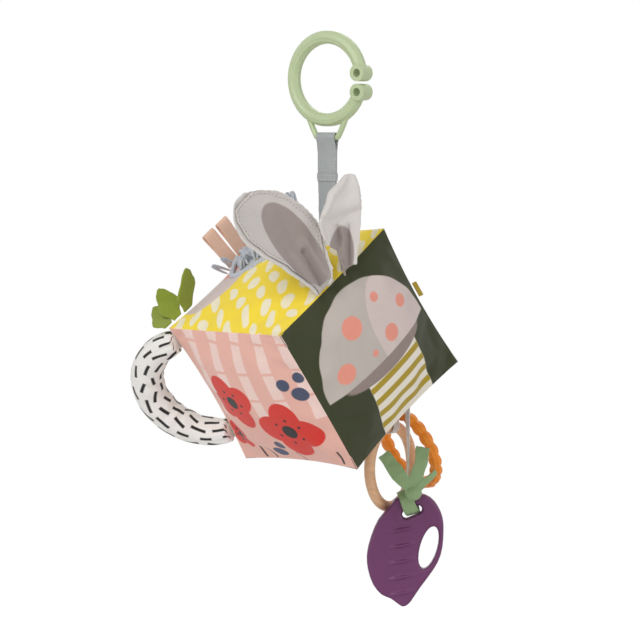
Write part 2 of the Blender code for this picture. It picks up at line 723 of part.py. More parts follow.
def make_handle(group, frame, cover_material, filling):
    """A stuffed half ring along the lower rear seam: a cloth tube, open at its ends, and its filling."""
    first, last = (pillow_point((1.0, -1.0, 2 * share - 1)) for share in HANDLE_PLACE_SHARES)
    way = HANDLE_DIRECTION.normalized()
    middle = first.lerp(last, 0.5)
    steps = 18
    path, shares = [], []
    end_share = 0.60
    for index in range(steps + 1):
        angle = math.pi * index / steps
        path.append(first.lerp(last, (1 - math.cos(angle)) / 2) + way * (HANDLE_REACH * math.sin(angle) + CLEAR))
        shares.append(end_share + (1 - end_share) * math.sin(angle) ** 0.5)
    pivot = make_frame(group, "handle_frame", middle, parent=frame)
    path = [point - middle for point in path]
    outer = HANDLE_DIAMETER / 2
    cover_curve = tube_curve("cover_curve", path, outer, 3, shares, caps=False)
    cover = add_object(group, "handle_cover", mesh_of_curve("handle_cover", cover_curve), cover_material, pivot)
    thicken(cover, HANDLE_COVER, -1.0)
    smooth_shade(cover.data)
    inner = outer - HANDLE_COVER - FILLING_GAP
    inner_shares = [(outer * share - HANDLE_COVER - FILLING_GAP) / inner for share in shares]
    stuffing = mesh_of_curve("handle_stuffing", tube_curve("stuffing_curve", path, inner, 3, inner_shares))
    smooth_shade(stuffing)
    add_object(group, "handle_stuffing", stuffing, filling, pivot)


# Rings and teether under the block

def flat_frame(across, up):
    """A rotation whose X and Y lie in a ring's or a plate's plane."""
    across = across.normalized()
    normal = across.cross(up).normalized()
    return Matrix((across, normal.cross(across), normal)).transposed()


def seam_start(seam, along, gap):
    """A ribbon's sewn end beside the lowest seam, in the frame of that seam."""
    unit = (along / HALF, 1.0, 1.0)
    outward = BLOCK_AXES @ Vector((0.0, 1.0, 1.0)).normalized()
    return HANG_POINT + BLOCK_AXES @ pillow_point(unit) + outward * gap - seam


def ring_core(section, radius, width):
    """The radius that a ribbon of some width must clear round a curved ring's section."""
    return section / 2 + width ** 2 / (8 * radius)


def make_wood_ring(group, frame, seam, wood, ribbon):
    """The turned wooden ring and its ribbon, which turns a quarter on its way down."""
    pivot = make_frame(
        group, "wood_ring_frame", WOOD_RING_PLACE, flat_frame(WOOD_RING_ACROSS, Vector((0.0, 0.0, 1.0))), frame,
    )
    bpy.ops.mesh.primitive_torus_add(
        major_radius=WOOD_RING_RADIUS, minor_radius=WOOD_RING_SECTION / 2, major_segments=40, minor_segments=10,
    )
    made = bpy.context.object
    mesh = made.data
    bpy.data.objects.remove(made)
    smooth_shade(mesh)
    add_object(group, "wood_ring", mesh, wood, pivot)
    start = seam_start(seam, WOOD_RIBBON_ALONG, RIBBON_THICKNESS + CLEAR)
    end = WOOD_RING_PLACE + Vector((0.0, 0.0, WOOD_RING_RADIUS))
    ways = (Vector((0.0, 1.0, 0.0)), WOOD_RING_ACROSS)
    loop = loop_ribbon_mesh(
        "wood_ring_ribbon", start, end, ways, WOOD_RIBBON_WIDTH, RIBBON_THICKNESS,
        ring_core(WOOD_RING_SECTION, WOOD_RING_RADIUS, WOOD_RIBBON_WIDTH), RIBBON_NECK,
    )
    thicken(add_object(group, "wood_ring_ribbon", loop, ribbon, frame), RIBBON_THICKNESS, 0.0)


def make_scallop_ring(group, frame, seam, material, ribbon):
    """The scalloped ring, which lies outside the wooden one, and its ribbon."""
    axes = flat_frame(SCALLOP_RING_ACROSS, SCALLOP_RING_UP)
    pivot = make_frame(group, "scallop_ring_frame", SCALLOP_RING_PLACE, axes, frame)
    bumps = round(2 * math.pi * SCALLOP_RING_RADIUS / SCALLOP_PITCH)
    bpy.ops.mesh.primitive_torus_add(
        major_radius=SCALLOP_RING_RADIUS, minor_radius=SCALLOP_SECTION / 2,
        major_segments=4 * bumps, minor_segments=8,
    )
    made = bpy.context.object
    mesh = made.data
    bpy.data.objects.remove(made)
    for vert in mesh.vertices:
        flat = Vector((vert.co.x, vert.co.y, 0.0))
        ring = flat.normalized() * SCALLOP_RING_RADIUS
        angle = math.atan2(flat.y, flat.x)
        waist = SCALLOP_DEPTH * (1 - abs(math.cos(angle * bumps / 2)))
        vert.co = ring + (vert.co - ring) * (1 - waist / (SCALLOP_SECTION / 2))
    smooth_shade(mesh)
    add_object(group, "scallop_ring", mesh, material, pivot)
    end = SCALLOP_RING_PLACE + SCALLOP_RING_UP.normalized() * SCALLOP_RING_RADIUS
    start = seam_start(seam, end.y, RIBBON_THICKNESS + CLEAR)
    ways = (Vector((0.0, 1.0, 0.0)), SCALLOP_RING_ACROSS)
    loop = loop_ribbon_mesh(
        "scallop_ring_ribbon", start, end, ways, SCALLOP_RIBBON_WIDTH, RIBBON_THICKNESS,
        ring_core(SCALLOP_SECTION, SCALLOP_RING_RADIUS, SCALLOP_RIBBON_WIDTH), RIBBON_NECK,
    )
    thicken(add_object(group, "scallop_ring_ribbon", loop, ribbon, frame), RIBBON_THICKNESS, 0.0)


def on_plate(across, up, out=0.0):
    """A point in the frame of the lowest seam from the teether plate's own directions."""
    return TEETHER_PLACE + TEETHER_ACROSS * across + Vector((0.0, 0.0, up)) + TEETHER_FACING * out


def make_teether_strap(group, frame, seam, material):
    """The flat strap from the seam to the knot, turning edge-on to the teether's face."""
    start = seam_start(seam, LOWER_STRAP_ALONG, LOWER_STRAP_THICKNESS / 2 + CLEAR)
    end = on_plate(0.0, (band_radius() + TAIL_THICKNESS / 2 + 2 * CLEAR) / math.cos(SLOT_SLANT))
    bend = start + Vector((LOWER_STRAP_THICKNESS / 2, 0.0, -LOWER_STRAP_WIDTH))
    middle = start.lerp(end, 0.55)
    middle.x = (start.x + middle.x) / 2
    path = smooth_path([start, bend, middle, end], 6)
    edge_on = -TEETHER_FACING

    def place(first, second):
        share = first
        point = path[round(first * (len(path) - 1))]
        across = Vector((0.0, 1.0, 0.0)).lerp(edge_on, smooth_step(share)).normalized()
        return point + across * (second - 0.5) * LOWER_STRAP_WIDTH

    mesh = sheet_mesh("teether_strap", len(path) - 1, 2, place)
    thicken(add_object(group, "teether_strap", mesh, material, frame), LOWER_STRAP_THICKNESS, 0.0)


def band_radius():
    """The knotted ribbon's loop clears the bridge over the slot all round."""
    half_height = BRIDGE_HEIGHT / 2 - TEETHER_EDGE
    half_depth = TEETHER_THICKNESS / 2 - TEETHER_EDGE
    return math.hypot(half_height, half_depth) + TEETHER_EDGE + CLEAR + TAIL_THICKNESS + BAND_SLACK


def knot_centre():
    """The knot lies on the teether's face, against the loop."""
    return on_plate(KNOT_RADII.x / 2, KNOT_RISE, TEETHER_THICKNESS / 2 + CLEAR + KNOT_RADII.y)


def tail_mesh(name, across, up, width, tip_share):
    """A ribbon's free end from the knot, bellied forward."""
    start = knot_centre()
    way = (TEETHER_ACROSS * across + Vector((0.0, 0.0, up)))
    side = way.cross(TEETHER_FACING).normalized()

    def place(first, second):
        belly = TEETHER_FACING * TAIL_BELLY * math.sin(math.pi * first)
        taper = width * (tip_share + (1 - tip_share) * math.sin(math.pi * (0.2 + 0.6 * first)))
        return start + way * first + belly + side * (second - 0.5) * taper

    return sheet_mesh(name, 7, 2, place)


def make_teether_ribbon(group, helpers, frame, material):
    """One ribbon: a loop through the slot, a knot and three free ends, joined as one body."""
    slant = TEETHER_ACROSS * math.cos(SLOT_SLANT) + Vector((0.0, 0.0, math.sin(SLOT_SLANT)))
    upright = slant.cross(-TEETHER_FACING).normalized()
    radius = band_radius()

    def band_place(first, second):
        angle = 2 * math.pi * first
        round_way = upright * math.sin(angle) + TEETHER_FACING * math.cos(angle)
        return TEETHER_PLACE + round_way * radius + slant * (second - 0.5) * KNOT_BAND_WIDTH

    open_band = sheet_mesh("open_band", 20, 2, band_place)
    work = bmesh.new()
    work.from_mesh(open_band)
    bmesh.ops.remove_doubles(work, verts=work.verts, dist=CLEAR / 10)
    band = mesh_from(work, "teether_ribbon", closed=False)
    ribbon = add_object(group, "teether_ribbon", band, material, frame)
    thicken(ribbon, TAIL_THICKNESS, 0.0)
    knot_work = bmesh.new()
    bmesh.ops.create_uvsphere(knot_work, u_segments=12, v_segments=8, radius=1.0)
    turned = Matrix((TEETHER_ACROSS, TEETHER_FACING, Vector((0.0, 0.0, 1.0)))).transposed()
    for vert in knot_work.verts:
        vert.co = knot_centre() + turned @ Vector([a * b for a, b in zip(vert.co, KNOT_RADII)])
    knot = mesh_from(knot_work, "knot")
    boolean(ribbon, hide_helper(add_object(helpers, "knot", knot, material, frame)), "UNION")
    tails = (
        ("tail_left", -2.2 * TAIL_WIDTH, 2.8 * TAIL_WIDTH, TAIL_WIDTH, 0.7),
        ("tail_right", 0.7 * TAIL_WIDTH, 3.3 * TAIL_WIDTH, TAIL_WIDTH, 0.9),
        ("tail_end", 1.7 * TAIL_WIDTH, 1.6 * TAIL_WIDTH, TAIL_WIDTH / 2, 0.3),
    )
    for name, across, up, width, tip_share in tails:
        tail = add_object(helpers, name, tail_mesh(name, across, up, width, tip_share), material, frame)
        thicken(hide_helper(tail), TAIL_THICKNESS, 0.0)
        boolean(ribbon, tail, "UNION")


def closed_spline(curve, points):
    """Add a closed line through points of a plane."""
    spline = curve.splines.new("POLY")
    spline.points.add(len(points) - 1)
    for index, point in enumerate(points):
        spline.points[index].co = (point.x, point.y, 0.0, 1.0)
    spline.use_cyclic_u = True


def turned_by(point, angle):
    """A plane point turned about the origin."""
    return Matrix.Rotation(angle, 3, "Z") @ point


def make_teether(group, helpers, frame, material):
    """The moulded teether: a rounded plate with a slot, a grip hole and shallow ridges."""
    axes = flat_frame(TEETHER_ACROSS, Vector((0.0, 0.0, 1.0)))
    pivot = make_frame(group, "teether_frame", TEETHER_PLACE, axes, frame)
    slot_centre = turned_by(Vector((0.0, -(SLOT_HEIGHT + BRIDGE_HEIGHT) / 2, 0.0)), SLOT_SLANT)
    curve = bpy.data.curves.new("teether_outline", "CURVE")
    curve.dimensions = "2D"
    curve.fill_mode = "BOTH"
    curve.extrude = TEETHER_THICKNESS / 2 - TEETHER_EDGE
    curve.bevel_depth = TEETHER_EDGE
    curve.bevel_resolution = 2
    curve.offset = -TEETHER_EDGE
    plate_centre = slot_centre + Vector(
        (0.0, SLOT_HEIGHT / 2 + BRIDGE_HEIGHT - TEETHER_HEIGHT * BRIDGE_TOP_SHARE, 0.0)
    )
    outline = [
        Vector((across * TEETHER_WIDTH, up * TEETHER_HEIGHT, 0.0)) + plate_centre
        for across, up in TEETHER_OUTLINE_SHARES
    ]
    closed_spline(curve, smooth_path([*outline, outline[0]], 2)[:-1])
    half_slot = (SLOT_LENGTH - SLOT_HEIGHT) / 2
    slot = []
    for index in range(12):
        angle = 2 * math.pi * (index + 0.5) / 12
        end = half_slot if math.cos(angle) > 0 else -half_slot
        corner = Vector((end + SLOT_HEIGHT / 2 * math.cos(angle), SLOT_HEIGHT / 2 * math.sin(angle), 0.0))
        slot.append(turned_by(corner, SLOT_SLANT) + slot_centre)
    closed_spline(curve, slot)
    hole_centre = plate_centre + Vector(
        (GRIP_HOLE_SHARES[0] * TEETHER_WIDTH, GRIP_HOLE_SHARES[1] * TEETHER_HEIGHT, 0.0)
    )
    hole = []
    for index in range(20):
        angle = 2 * math.pi * index / 20
        edge = Vector((GRIP_HOLE_WIDTH / 2 * math.cos(angle), GRIP_HOLE_LENGTH / 2 * math.sin(angle), 0.0))
        hole.append(turned_by(edge, -GRIP_HOLE_SLANT) + hole_centre)
    closed_spline(curve, hole)
    mesh = mesh_of_curve("teether", curve)
    smooth_shade(mesh)
    teether = add_object(group, "teether", mesh, material, pivot)
    for index in range(5):
        middle = plate_centre + Vector((-RIDGE_LENGTH / 3, -RIDGE_PITCH * (index + 1.1), TEETHER_THICKNESS / 2))
        half = turned_by(Vector((RIDGE_LENGTH / 2, 0.0, 0.0)), SLOT_SLANT / 2)
        points = [middle + half * share for share in (-1.0, -0.5, 0.0, 0.5, 1.0)]
        ridge_curve = tube_curve("ridge_curve", points, RIDGE_HEIGHT, 1, (0.3, 0.8, 1.0, 0.8, 0.3))
        ridge_mesh = mesh_of_curve(f"ridge_{index + 1}", ridge_curve)
        ridge = hide_helper(add_object(helpers, ridge_mesh.name, ridge_mesh, material, pivot))
        boolean(teether, ridge, "UNION")


def main():
    """Build the block and everything that hangs from it."""
    clear_scene()
    group = make_group("soft_fabric_block")
    helpers = make_group("cutters")
    sage = make_material("sage_plastic", (0.45, 0.55, 0.26), 0.45)
    grey_webbing = make_material("grey_webbing", (0.38, 0.38, 0.38), 0.9)
    make_hanger_ring(group, helpers, sage)
    make_hanging_strap(group, make_frame(group, "strap_frame", Vector((0.0, 0.0, BAR_Z))), grey_webbing)

    block = make_frame(group, "block_frame", HANG_POINT, BLOCK_AXES)
    panels = (
        ("panel_front", 0, -1.0, (0.034, 0.032, 0.012)),
        ("panel_back", 0, 1.0, (0.48, 0.42, 0.36)),
        ("panel_lower", 1, -1.0, (0.73, 0.40, 0.33)),
        ("panel_right", 1, 1.0, (0.58, 0.52, 0.45)),
        ("panel_upper", 2, -1.0, (0.95, 0.75, 0.10)),
        ("panel_bottom", 2, 1.0, (0.55, 0.30, 0.24)),
    )
    for name, axis, side, colour in panels:
        make_panel(group, block, name, axis, side, make_material(f"{name}_cloth", colour, 0.9))
    filling = make_material("filling", (0.85, 0.85, 0.83), 1.0)
    make_foam_core(group, helpers, block, filling)
    shell = make_material("rattle_shell", (0.8, 0.8, 0.8), 0.4)
    make_rattle(group, block, shell, make_material("rattle_beads", (0.7, 0.7, 0.2), 0.4))
    plush = make_material("ear_plush", (0.80, 0.78, 0.75), 1.0)
    make_ears(group, block, plush, make_material("ear_lining", (0.58, 0.51, 0.47), 0.9))
    pile = make_material("patch_pile", (0.38, 0.41, 0.48), 1.0)
    make_patch(group, block, pile, make_material("border_cord", (0.55, 0.55, 0.52), 0.9))
    make_leaves(group, block, make_material("leaf_cloth", (0.16, 0.19, 0.013), 0.9))
    make_tags(group, block, make_material("tag_ribbon", (0.83, 0.50, 0.36), 0.7))
    make_side_label(group, block, make_material("label_cloth", (0.8, 0.8, 0.8), 0.8))
    make_handle(group, block, make_material("handle_cloth", (0.68, 0.63, 0.63), 0.9), filling)

    seam = HANG_POINT + BLOCK_AXES @ pillow_point((0.0, 1.0, 1.0))
    lower = make_frame(group, "lower_seam_frame", seam)
    ribbon = make_material("ring_ribbon", (0.60, 0.58, 0.54), 0.8)
    make_wood_ring(group, lower, seam, make_material("beech", (0.51, 0.27, 0.11), 0.5), ribbon)
    make_scallop_ring(group, lower, seam, make_material("orange_silicone", (0.80, 0.19, 0.01), 0.4), ribbon)
    make_teether_strap(group, lower, seam, make_material("strap_tape", (0.62, 0.62, 0.62), 0.9))
    make_teether_ribbon(group, helpers, lower, make_material("green_ribbon", (0.16, 0.22, 0.11), 0.6))
    make_teether(group, helpers, lower, make_material("plum_silicone", (0.11, 0.04, 0.09), 0.4))


main()
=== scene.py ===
"""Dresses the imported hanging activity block: cloth, stitching, prints, plastic, wood and silicone."""

import json
import logging
import math
from dataclasses import dataclass
from enum import Enum
from typing import Iterable, Sequence

import bmesh
import bpy
from mathutils import Matrix, Vector, noise
from mathutils.bvhtree import BVHTree

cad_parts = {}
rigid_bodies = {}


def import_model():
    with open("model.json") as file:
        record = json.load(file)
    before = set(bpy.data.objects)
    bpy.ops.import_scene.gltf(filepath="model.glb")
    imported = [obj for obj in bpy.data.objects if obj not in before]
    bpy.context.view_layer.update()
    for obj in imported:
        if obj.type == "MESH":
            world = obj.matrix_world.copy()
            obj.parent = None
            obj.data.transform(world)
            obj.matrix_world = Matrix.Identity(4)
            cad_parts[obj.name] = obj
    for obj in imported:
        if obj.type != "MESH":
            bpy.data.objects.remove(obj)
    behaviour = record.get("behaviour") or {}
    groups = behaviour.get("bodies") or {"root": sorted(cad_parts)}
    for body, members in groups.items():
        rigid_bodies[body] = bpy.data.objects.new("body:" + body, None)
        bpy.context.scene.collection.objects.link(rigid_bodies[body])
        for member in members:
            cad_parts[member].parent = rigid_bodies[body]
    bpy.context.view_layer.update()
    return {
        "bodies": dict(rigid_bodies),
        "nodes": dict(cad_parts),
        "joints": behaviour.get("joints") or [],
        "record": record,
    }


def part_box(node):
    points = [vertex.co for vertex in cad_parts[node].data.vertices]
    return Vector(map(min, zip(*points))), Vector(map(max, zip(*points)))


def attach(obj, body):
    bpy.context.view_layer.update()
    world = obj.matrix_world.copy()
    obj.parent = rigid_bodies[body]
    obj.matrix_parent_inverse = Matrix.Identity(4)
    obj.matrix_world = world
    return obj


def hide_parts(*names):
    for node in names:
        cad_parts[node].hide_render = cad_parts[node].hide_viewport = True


MM = 0.001
LOG = logging.getLogger("activity_block")
Socket = bpy.types.NodeSocket
Tree = bpy.types.NodeTree
Object = bpy.types.Object


class Dye(Enum):
    """The dyes and mouldings of the toy, and one painted shade for inside the ears, as sRGB hex values."""

    SAGE = "#C0CFA4"
    WEBBING = "#A6AAAA"
    OLIVE = "#34391B"
    WARM_GREY = "#C4BAB2"
    TAUPE = "#96857F"
    CORAL = "#EE9A86"
    CREAM = "#F0E8D8"
    MUSTARD = "#B0961F"
    YELLOW = "#FFE23A"
    BUTTER = "#F8EFCF"
    LILAC = "#DAC8C3"
    PINK = "#EFB9AA"
    BLUSH = "#F8D8CE"
    RED = "#DE2E1F"
    NAVY = "#48506A"
    INK = "#1E1A19"
    PLUSH = "#DCD6D1"
    LINING = "#CDC6C1"
    # Painted shade: the darker grey inside the ears.
    EAR_INSIDE = "#A0938E"
    GREY_THREAD = "#8B8580"
    CHENILLE = "#CCD2DB"
    LEAF = "#92A234"
    PEACH = "#EAC0A8"
    WHITE = "#F4F1EC"
    BEECH = "#F0BF94"
    ORANGE = "#FF9418"
    MOSS = "#8FAB78"
    PLUM = "#6E3364"
    TAPE = "#E6E4E0"
    FILLING = "#EDEAE2"


def linear(colour: Dye) -> tuple[float, float, float, float]:
    """Turns a dye's sRGB hex value to the linear colour that a shader socket takes.

    Args:
        colour: The dye.

    Returns:
        Red, green, blue and alpha, linear.
    """
    parts = [int(colour.value[start:start + 2], 16) / 255 for start in (1, 3, 5)]
    red, green, blue = (p / 12.92 if p <= 0.04045 else ((p + 0.055) / 1.055) ** 2.4 for p in parts)
    return (red, green, blue, 1.0)


def add_node(tree: Tree, kind: str, inputs: dict | Sequence = (), output: int | str = 0, **settings: object) -> Socket:
    """Adds a shader node, sets it up and links it.

    Args:
        tree: The node tree that gets it.
        kind: The node's type, without its ShaderNode prefix.
        inputs: Input name or number to a socket or a plain value, or a sequence of them in order.
        output: The output that is wanted.
        **settings: The node's own properties.

    Returns:
        The wanted output socket.
    """
    node = tree.nodes.new("ShaderNode" + kind)
    for name, value in settings.items():
        setattr(node, name, value)
    pairs = inputs.items() if isinstance(inputs, dict) else enumerate(inputs)
    for key, value in pairs:
        if isinstance(value, bpy.types.NodeSocket):
            tree.links.new(value, node.inputs[key])
        else:
            node.inputs[key].default_value = value
    return node.outputs[output]


class Layout:
    """A drawing in the plane of one cloth panel, in millimetres: shapes become masks, and masks are painted."""

    def __init__(self, tree: Tree, across: Socket, up: Socket, ground: Dye) -> None:
        """Starts a drawing on a plain ground.

        Args:
            tree: The material's node tree.
            across: Millimetres to the right of the panel's middle.
            up: Millimetres above it.
            ground: The cloth's own dye.
        """
        self.tree = tree
        self.across = across
        self.up = up
        self.colour: Socket = add_node(tree, "RGB")
        self.colour.default_value = linear(ground)

    def placed(self, x: float, y: float, turn: float = 0.0) -> tuple[Socket, Socket]:
        """Coordinates about another point, turned by some degrees.

        Args:
            x: The point's place across.
            y: The point's place up.
            turn: Degrees anticlockwise.

        Returns:
            Across and up, about that point.
        """
        both = add_node(self.tree, "CombineXYZ", (self.across, self.up, 0.0))
        moved = add_node(self.tree, "VectorMath", (both, (x, y, 0.0)), operation="SUBTRACT")
        if turn:
            moved = add_node(
                self.tree, "VectorRotate", {"Vector": moved, "Angle": math.radians(-turn)}, rotation_type="Z_AXIS"
            )
        ends = add_node(self.tree, "SeparateXYZ", (moved,))
        return ends, ends.node.outputs[1]

    def edge(self, distance: Socket, soft: float = 0.35) -> Socket:
        """A mask, 1 where the distance to a shape's outline is below zero.

        Args:
            distance: Signed distance in millimetres.
            soft: Half the width of the print's soft edge.

        Returns:
            The mask.
        """
        ends = {"Value": distance, "From Min": soft, "From Max": -soft, "To Min": 0.0, "To Max": 1.0}
        return add_node(self.tree, "MapRange", ends)

    def oval(self, x: float, y: float, wide: float, high: float, turn: float = 0.0) -> Socket:
        """A mask of an ellipse.

        Args:
            x: Its middle across.
            y: Its middle up.
            wide: Half its width.
            high: Half its height.
            turn: Degrees anticlockwise.

        Returns:
            The mask.
        """
        across, up = self.placed(x, y, turn)
        first = add_node(self.tree, "Math", (across, wide), operation="DIVIDE")
        second = add_node(self.tree, "Math", (up, high), operation="DIVIDE")
        both = add_node(self.tree, "CombineXYZ", (first, second, 0.0))
        length = add_node(self.tree, "VectorMath", (both,), "Value", operation="LENGTH")
        past = add_node(self.tree, "Math", (length, 1.0), operation="SUBTRACT")
        return self.edge(add_node(self.tree, "Math", (past, min(wide, high)), operation="MULTIPLY"))

    def bar(self, x: float, y: float, wide: float, high: float, turn: float = 0.0) -> Socket:
        """A mask of a rectangle, with the same arguments as an oval."""
        distances = []
        for value, half in zip(self.placed(x, y, turn), (wide, high)):
            size = add_node(self.tree, "Math", (value,), operation="ABSOLUTE")
            distances.append(add_node(self.tree, "Math", (size, half), operation="SUBTRACT"))
        return self.edge(add_node(self.tree, "Math", tuple(distances), operation="MAXIMUM"))

    def rows(self, along: Socket, pitch: float, share: float) -> Socket:
        """A mask of even stripes.

        Args:
            along: The coordinate that they are counted on.
            pitch: Millimetres from one to the next.
            share: The part of the pitch that is painted.

        Returns:
            The mask.
        """
        turned = add_node(self.tree, "Math", (along, pitch), operation="PINGPONG")
        return self.edge(add_node(self.tree, "Math", (turned, pitch * share), operation="SUBTRACT"), 0.25)

    def both(self, first: Socket, second: Socket) -> Socket:
        """The mask of what two masks share."""
        return add_node(self.tree, "Math", (first, second), operation="MULTIPLY")

    def outside(self, mask: Socket) -> Socket:
        """The mask of what another leaves."""
        return add_node(self.tree, "Math", (1.0, mask), operation="SUBTRACT")

    def paint(self, mask: Socket, colour: Dye) -> None:
        """Paints one colour where the mask is 1: mostly a dye, and on the ears a painted shade."""
        inputs = {0: mask, 6: self.colour, 7: linear(colour)}
        self.colour = add_node(self.tree, "Mix", inputs, 2, data_type="RGBA")


@dataclass(frozen=True)
class Finish:
    """What every finish has: a name, a dye and a shader to start from."""

    name: str
    dye: Dye
    roughness: float = 0.9

    def start(self) -> tuple[bpy.types.Material, Tree, bpy.types.ShaderNodeBsdfPrincipled]:
        """Makes the material with its shader.

        Returns:
            The material, its tree and its Principled shader.
        """
        material = bpy.data.materials.new(self.name)
        material.use_nodes = True
        tree = material.node_tree
        shader = next(node for node in tree.nodes if node.type == "BSDF_PRINCIPLED")
        shader.inputs["Base Color"].default_value = linear(self.dye)
        shader.inputs["Roughness"].default_value = self.roughness
        return material, tree, shader

    def place(self, tree: Tree, scale: float = 1000.0) -> Socket:
        """The object's own coordinates, in millimetres unless another scale is asked for."""
        raw = add_node(tree, "TexCoord", output="Object")
        return add_node(tree, "Mapping", {"Vector": raw, "Scale": (scale, scale, scale)})

    def shade(self, tree: Tree, shader: bpy.types.ShaderNodeBsdfPrincipled, mask: Socket, low: float, high: float,
              colour: Socket | None = None) -> None:
        """Darkens and lightens the colour with a mask.

        Args:
            tree: The material's tree.
            shader: Its shader.
            mask: 0 to 1.
            low: The colour's value where the mask is 0.
            high: Its value where the mask is 1.
            colour: The colour, where it isn't the plain dye.
        """
        value = add_node(tree, "MapRange", {"Value": mask, "To Min": low, "To Max": high})
        inputs = {"Color": colour or linear(self.dye), "Value": value}
        tree.links.new(add_node(tree, "HueSaturation", inputs), shader.inputs["Base Color"])

    def bump(self, tree: Tree, shader: bpy.types.ShaderNodeBsdfPrincipled, height: Socket, deep: float,
             strength: float = 1.0) -> None:
        """Gives the shader a relief.

        Args:
            tree: The material's tree.
            shader: Its shader.
            height: 0 to 1.
            deep: The relief's depth in metres.
            strength: How much of it shows.
        """
        inputs = {"Strength": strength, "Distance": deep, "Height": height}
        tree.links.new(add_node(tree, "Bump", inputs), shader.inputs["Normal"])

    def build(self) -> bpy.types.Material:
        """Makes the finished material."""
        return self.start()[0]


@dataclass(frozen=True)
class MouldedPlastic(Finish):
    """Injection-moulded polypropylene: satin, a shade uneven, with a fine spark-eroded grain."""

    roughness: float = 0.38
    groove: tuple[float, float, float, float] | None = None

    def grooved(self, tree: Tree, place: Socket, grain: Socket) -> Socket:
        """The grain's height with a round groove in it.

        Args:
            tree: The material's tree.
            place: Coordinates in millimetres.
            grain: The grain's height.

        Returns:
            The height.
        """
        x, y, z, radius = self.groove
        about = add_node(tree, "VectorMath", (place, (x, y, z)), operation="SUBTRACT")
        away = add_node(tree, "VectorMath", (about,), "Value", operation="LENGTH")
        off = add_node(tree, "Math", (add_node(tree, "Math", (away, radius), operation="SUBTRACT"),), operation="ABSOLUTE")
        wall = add_node(tree, "MapRange", {"Value": off, "From Min": 0.25, "From Max": 0.9, "To Min": -16.0, "To Max": 0.0})
        return add_node(tree, "Math", (grain, wall), operation="ADD")

    def build(self) -> bpy.types.Material:
        """Makes the plastic."""
        material, tree, shader = self.start()
        shader.inputs["Subsurface Weight"].default_value = 0.08
        shader.inputs["Subsurface Radius"].default_value = (0.003, 0.003, 0.002)
        place = self.place(tree)
        grain = add_node(tree, "TexNoise", {"Vector": place, "Scale": 1.6, "Detail": 2.0})
        cloud = add_node(tree, "TexNoise", {"Vector": place, "Scale": 0.06, "Detail": 3.0})
        self.shade(tree, shader, cloud, 0.93, 1.07)
        rough = add_node(tree, "MapRange", {"Value": cloud, "To Min": self.roughness - 0.06, "To Max": self.roughness + 0.1})
        tree.links.new(rough, shader.inputs["Roughness"])
        self.bump(tree, shader, self.grooved(tree, place, grain) if self.groove else grain, 0.00002, 0.5)
        return material


@dataclass(frozen=True)
class MouldedSilicone(MouldedPlastic):
    """Platinum silicone from a matt mould: soft edges of light, a dusting of dull spots."""

    roughness: float = 0.42

    def build(self) -> bpy.types.Material:
        """Makes the silicone."""
        material = super().build()
        shader = next(node for node in material.node_tree.nodes if node.type == "BSDF_PRINCIPLED")
        shader.inputs["Sheen Weight"].default_value = 0.05
        shader.inputs["Sheen Roughness"].default_value = 0.5
        shader.inputs["Subsurface Weight"].default_value = 0.15
        return material


@dataclass(frozen=True)
class WaxedBeech(Finish):
    """Turned beech with a wax finish: straight grain 2 mm apart and short dark flecks."""

    roughness: float = 0.5
    grain_way: tuple[float, float, float] = (0.0, 0.0, 0.0)

    def build(self) -> bpy.types.Material:
        """Makes the wood."""
        material, tree, shader = self.start()
        raw = add_node(tree, "TexCoord", output="Object")
        turned = add_node(tree, "Mapping", {"Vector": raw, "Rotation": self.grain_way, "Scale": (1000, 1000, 1000)})
        long = add_node(tree, "Mapping", {"Vector": turned, "Scale": (0.5, 0.5, 0.05)})
        rings = add_node(tree, "TexNoise", {"Vector": long, "Scale": 1.0, "Detail": 5.0, "Distortion": 0.4})
        short = add_node(tree, "Mapping", {"Vector": turned, "Scale": (2.2, 2.2, 0.35)})
        flecks = add_node(tree, "TexVoronoi", {"Vector": short, "Scale": 1.0})
        fleck = add_node(tree, "MapRange", {"Value": flecks, "From Min": 0.05, "From Max": 0.3})
        grain = add_node(tree, "Math", (rings, add_node(tree, "Math", (fleck, 0.08, 0.57), operation="MULTIPLY_ADD")),
                         operation="MULTIPLY")
        stretched = add_node(tree, "MapRange", {"Value": grain, "From Min": 0.15, "From Max": 0.5})
        self.shade(tree, shader, stretched, 0.78, 1.08)
        self.bump(tree, shader, rings, 0.00006)
        return material


